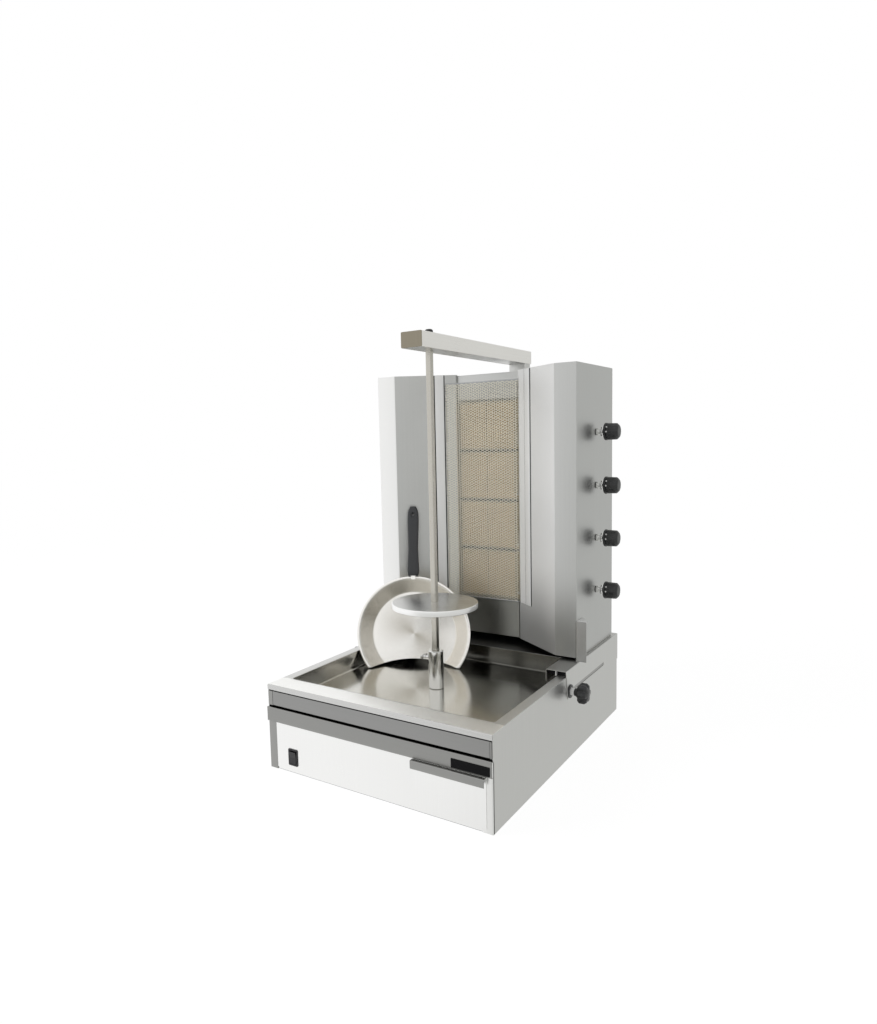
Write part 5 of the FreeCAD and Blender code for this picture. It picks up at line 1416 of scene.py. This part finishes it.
def scoop_handle():
    """A grip lofted through rounded sections: its half width narrows at the waist and swells to the end."""
    start = SCOOP_RADIUS - 14
    end = start + HANDLE_LENGTH
    along = np.linspace(0, 1, GRIP_ROWS)
    y = start + 15 + along * (HANDLE_LENGTH - 15)
    half_wide = np.interp(along, [0, 0.05, 0.38, 0.8, 0.93, 1.0], [14, 17, 13.6, 16, 14.5, 8])
    half_thick = np.interp(along, [0, 0.04, 0.4, 0.85, 0.96, 1.0], [5.0, 7.5, 7.5, 7.2, 6.2, 2.5])
    for half in (half_wide, half_thick):
        half[2:-2] = np.convolve(half, np.ones(5) / 5, "valid")
    angle = np.linspace(0, 2 * pi, GRIP_AROUND, endpoint=False)
    across, through = (np.sign(wave) * np.abs(wave) ** 0.55 for wave in (np.cos(angle), np.sin(angle)))
    points = np.stack([half_wide[:, None] * across, np.repeat(y[:, None], GRIP_AROUND, 1),
                       half_thick[:, None] * through], -1)
    count = GRIP_ROWS * GRIP_AROUND
    caps = [range(GRIP_AROUND), range(count - GRIP_AROUND, count)]
    piece = make_piece("scoop_grip", points, [*grid_faces(GRIP_ROWS, GRIP_AROUND, False, True), *caps])
    eye = end - 24
    corners = [(-7, eye - 11), (7, eye - 11), (7, eye + 7), (-7, eye + 7)]
    cut_away(piece, plate("eye_tool", [rounded(corners, 6.5, True, 9)[0]], 3.5, 20, "Z"))
    cut_away(piece, turned("eye_hole", rod(3.6, -20, 20), (0, eye + 1, 0), "Z", 0.1, 32))
    stand_in(set_scoop(soften(piece, 0.7, 3)), "handle", "scoop_handle")
    tang = slab("scoop_tang", (-6, start + 4, 0.2), (6, start + 34, 2.8), "Z", 2)
    add_to(set_scoop(tang), "scoop", "scoop")


finishes["scoop"] = turned_steel("scoop_spun", (0.97, 0.955, 0.92), 0.24, SCOOP_PLACE, 420, 0.20, spun_painted_fans)
scoop_pan()
scoop_handle()

# %% [markdown]
# ## Cable gland
# Low on the back sits a small plastic fitting: a domed sleeve on a hexagon nut.

# %% Cable gland


def cable_gland():
    """A domed sleeve with an open end, on a hexagon nut."""
    low, high = ends("cable_gland")
    centre = ((low[0] + high[0]) / 2, low[1], (low[2] + high[2]) / 2)
    radius = (high[0] - low[0]) / 2
    length = high[1] - low[1]
    dome = [(0, 5), (radius * 0.86, 5), (radius * 0.8, 9), (radius * 0.5, length), (3.6, length),
            (3.6, 8), (0, 8)]
    stand_in(turned("gland_dome", dome, centre, "Y", 0.8, 48), "black", "cable_gland")
    add_to(hexagon("gland_nut", radius, centre, 5.5, "Y"), "black", "base")


cable_gland()

# %% [markdown]
# ## Studio
# The floor is pale and plain. To the camera both floor and sky show as white. Mirrors see a room that is
# white on the left and light grey on the right, and one soft box gives the faint shadow.

# %% Floor, sky and lamp
FLOOR_REACH = 14000
FLOOR_GLOW = 1.08
GLOW_SHARE = 0.86
EVEN_LIGHT = 0.55
STUDIO_STOPS = [(0.0, tone(1.0)), (0.235, tone(1.0)), (0.33, tone((0.74, 0.74, 0.73))),
                (0.50, tone((0.68, 0.685, 0.67))), (1.0, tone((0.64, 0.645, 0.63)))]
CAMERA_RAY, GLOSSY_RAY, TRANSMISSION_RAY = 0, 3, 6


def make_floor():
    """A wide plane that is white to the camera with a faint shadow, and lets mirrors see the studio
    behind it."""
    corners = np.array([(-1, -1), (1, -1), (1, 1), (-1, 1)]) * FLOOR_REACH
    floor = make_piece("studio_floor", in_space(corners, -0.6, "Z"), [[0, 1, 2, 3]])
    paint = Finish("floor_paper", Roughness=0.9, Base_Color=tone(0.88))
    rays = paint.node("LightPath")
    glow = paint.node("Emission", {"Color": tone(1.0), "Strength": FLOOR_GLOW})[0]
    shown = paint.mixed(rays[CAMERA_RAY] * GLOW_SHARE, Reading(paint, paint.shader.outputs[0]), glow)
    mirrored = paint.maths("MAXIMUM", rays[GLOSSY_RAY], rays[TRANSMISSION_RAY])
    shown = paint.mixed(mirrored, shown, paint.node("BsdfTransparent")[0])
    paint.tree.links.new(shown.socket, paint.tree.nodes["Material Output"].inputs["Surface"])
    floor.data.materials.append(paint.material)


def make_sky():
    """White for the camera. Mirrors see STUDIO_STOPS by the share of X in the level direction, and a
    white panel up in front. All other rays get one even light."""
    world = bpy.data.worlds.new("studio")
    bpy.context.scene.world = world
    world.use_nodes = True
    world.node_tree.nodes.clear()
    sky = Graph(world.node_tree)
    direction = sky.node("TexCoord")[0]
    level = sky.node("VectorMath", {0: direction, 1: (1, 1, 0)}, operation="MULTIPLY")[0]
    level = sky.node("VectorMath", {0: level}, operation="NORMALIZE")[0]
    share = sky.maths("MULTIPLY_ADD", sky.node("SeparateXYZ", {0: level})[0], 0.5, 0.5)
    shades = sky.node("ValToRGB", {0: share})[0]
    elements = shades.socket.node.color_ramp.elements
    while len(elements) < len(STUDIO_STOPS):
        elements.new(0.5)
    for stop, (at, colour) in zip(elements, STUDIO_STOPS):
        stop.position = at
        stop.color = colour
    _, back, up = sky.node("SeparateXYZ", {0: direction})
    panel = sky.ramp(up, 0.02, 0.24, smooth=True) * sky.ramp(back, 0.1, -0.3, smooth=True)
    room = sky.blend(panel, shades, tone(1.0))
    rays = sky.node("LightPath")
    even = sky.node("Background", {0: tone(1.0), 1: EVEN_LIGHT})[0]
    mirrored = sky.maths("MAXIMUM", rays[GLOSSY_RAY], rays[TRANSMISSION_RAY])
    seen = sky.mixed(mirrored, even, sky.node("Background", {0: room})[0])
    seen = sky.mixed(rays[CAMERA_RAY], seen, sky.node("Background", {0: tone(1.0)})[0])
    sky.node("OutputWorld", {0: seen})


def make_lamp(name, at, towards, size, power):
    """A square soft box that faces a point and that mirrors don't see."""
    data = bpy.data.lights.new(name, "AREA")
    data.shape = "SQUARE"
    data.size = size
    data.energy = power
    lamp = link(name, data)
    back = (Vector(at) - Vector(towards)).normalized()
    lamp.matrix_world = Matrix.Translation(at) @ back.to_track_quat("Z", "Y").to_matrix().to_4x4()
    lamp.visible_glossy = False


make_floor()
make_sky()
make_lamp("soft_box_left", (-1.8, -1.6, 1.9), (0, 0, 0.5), 1.6, 30)
bpy.context.scene.view_settings.view_transform = "Standard"
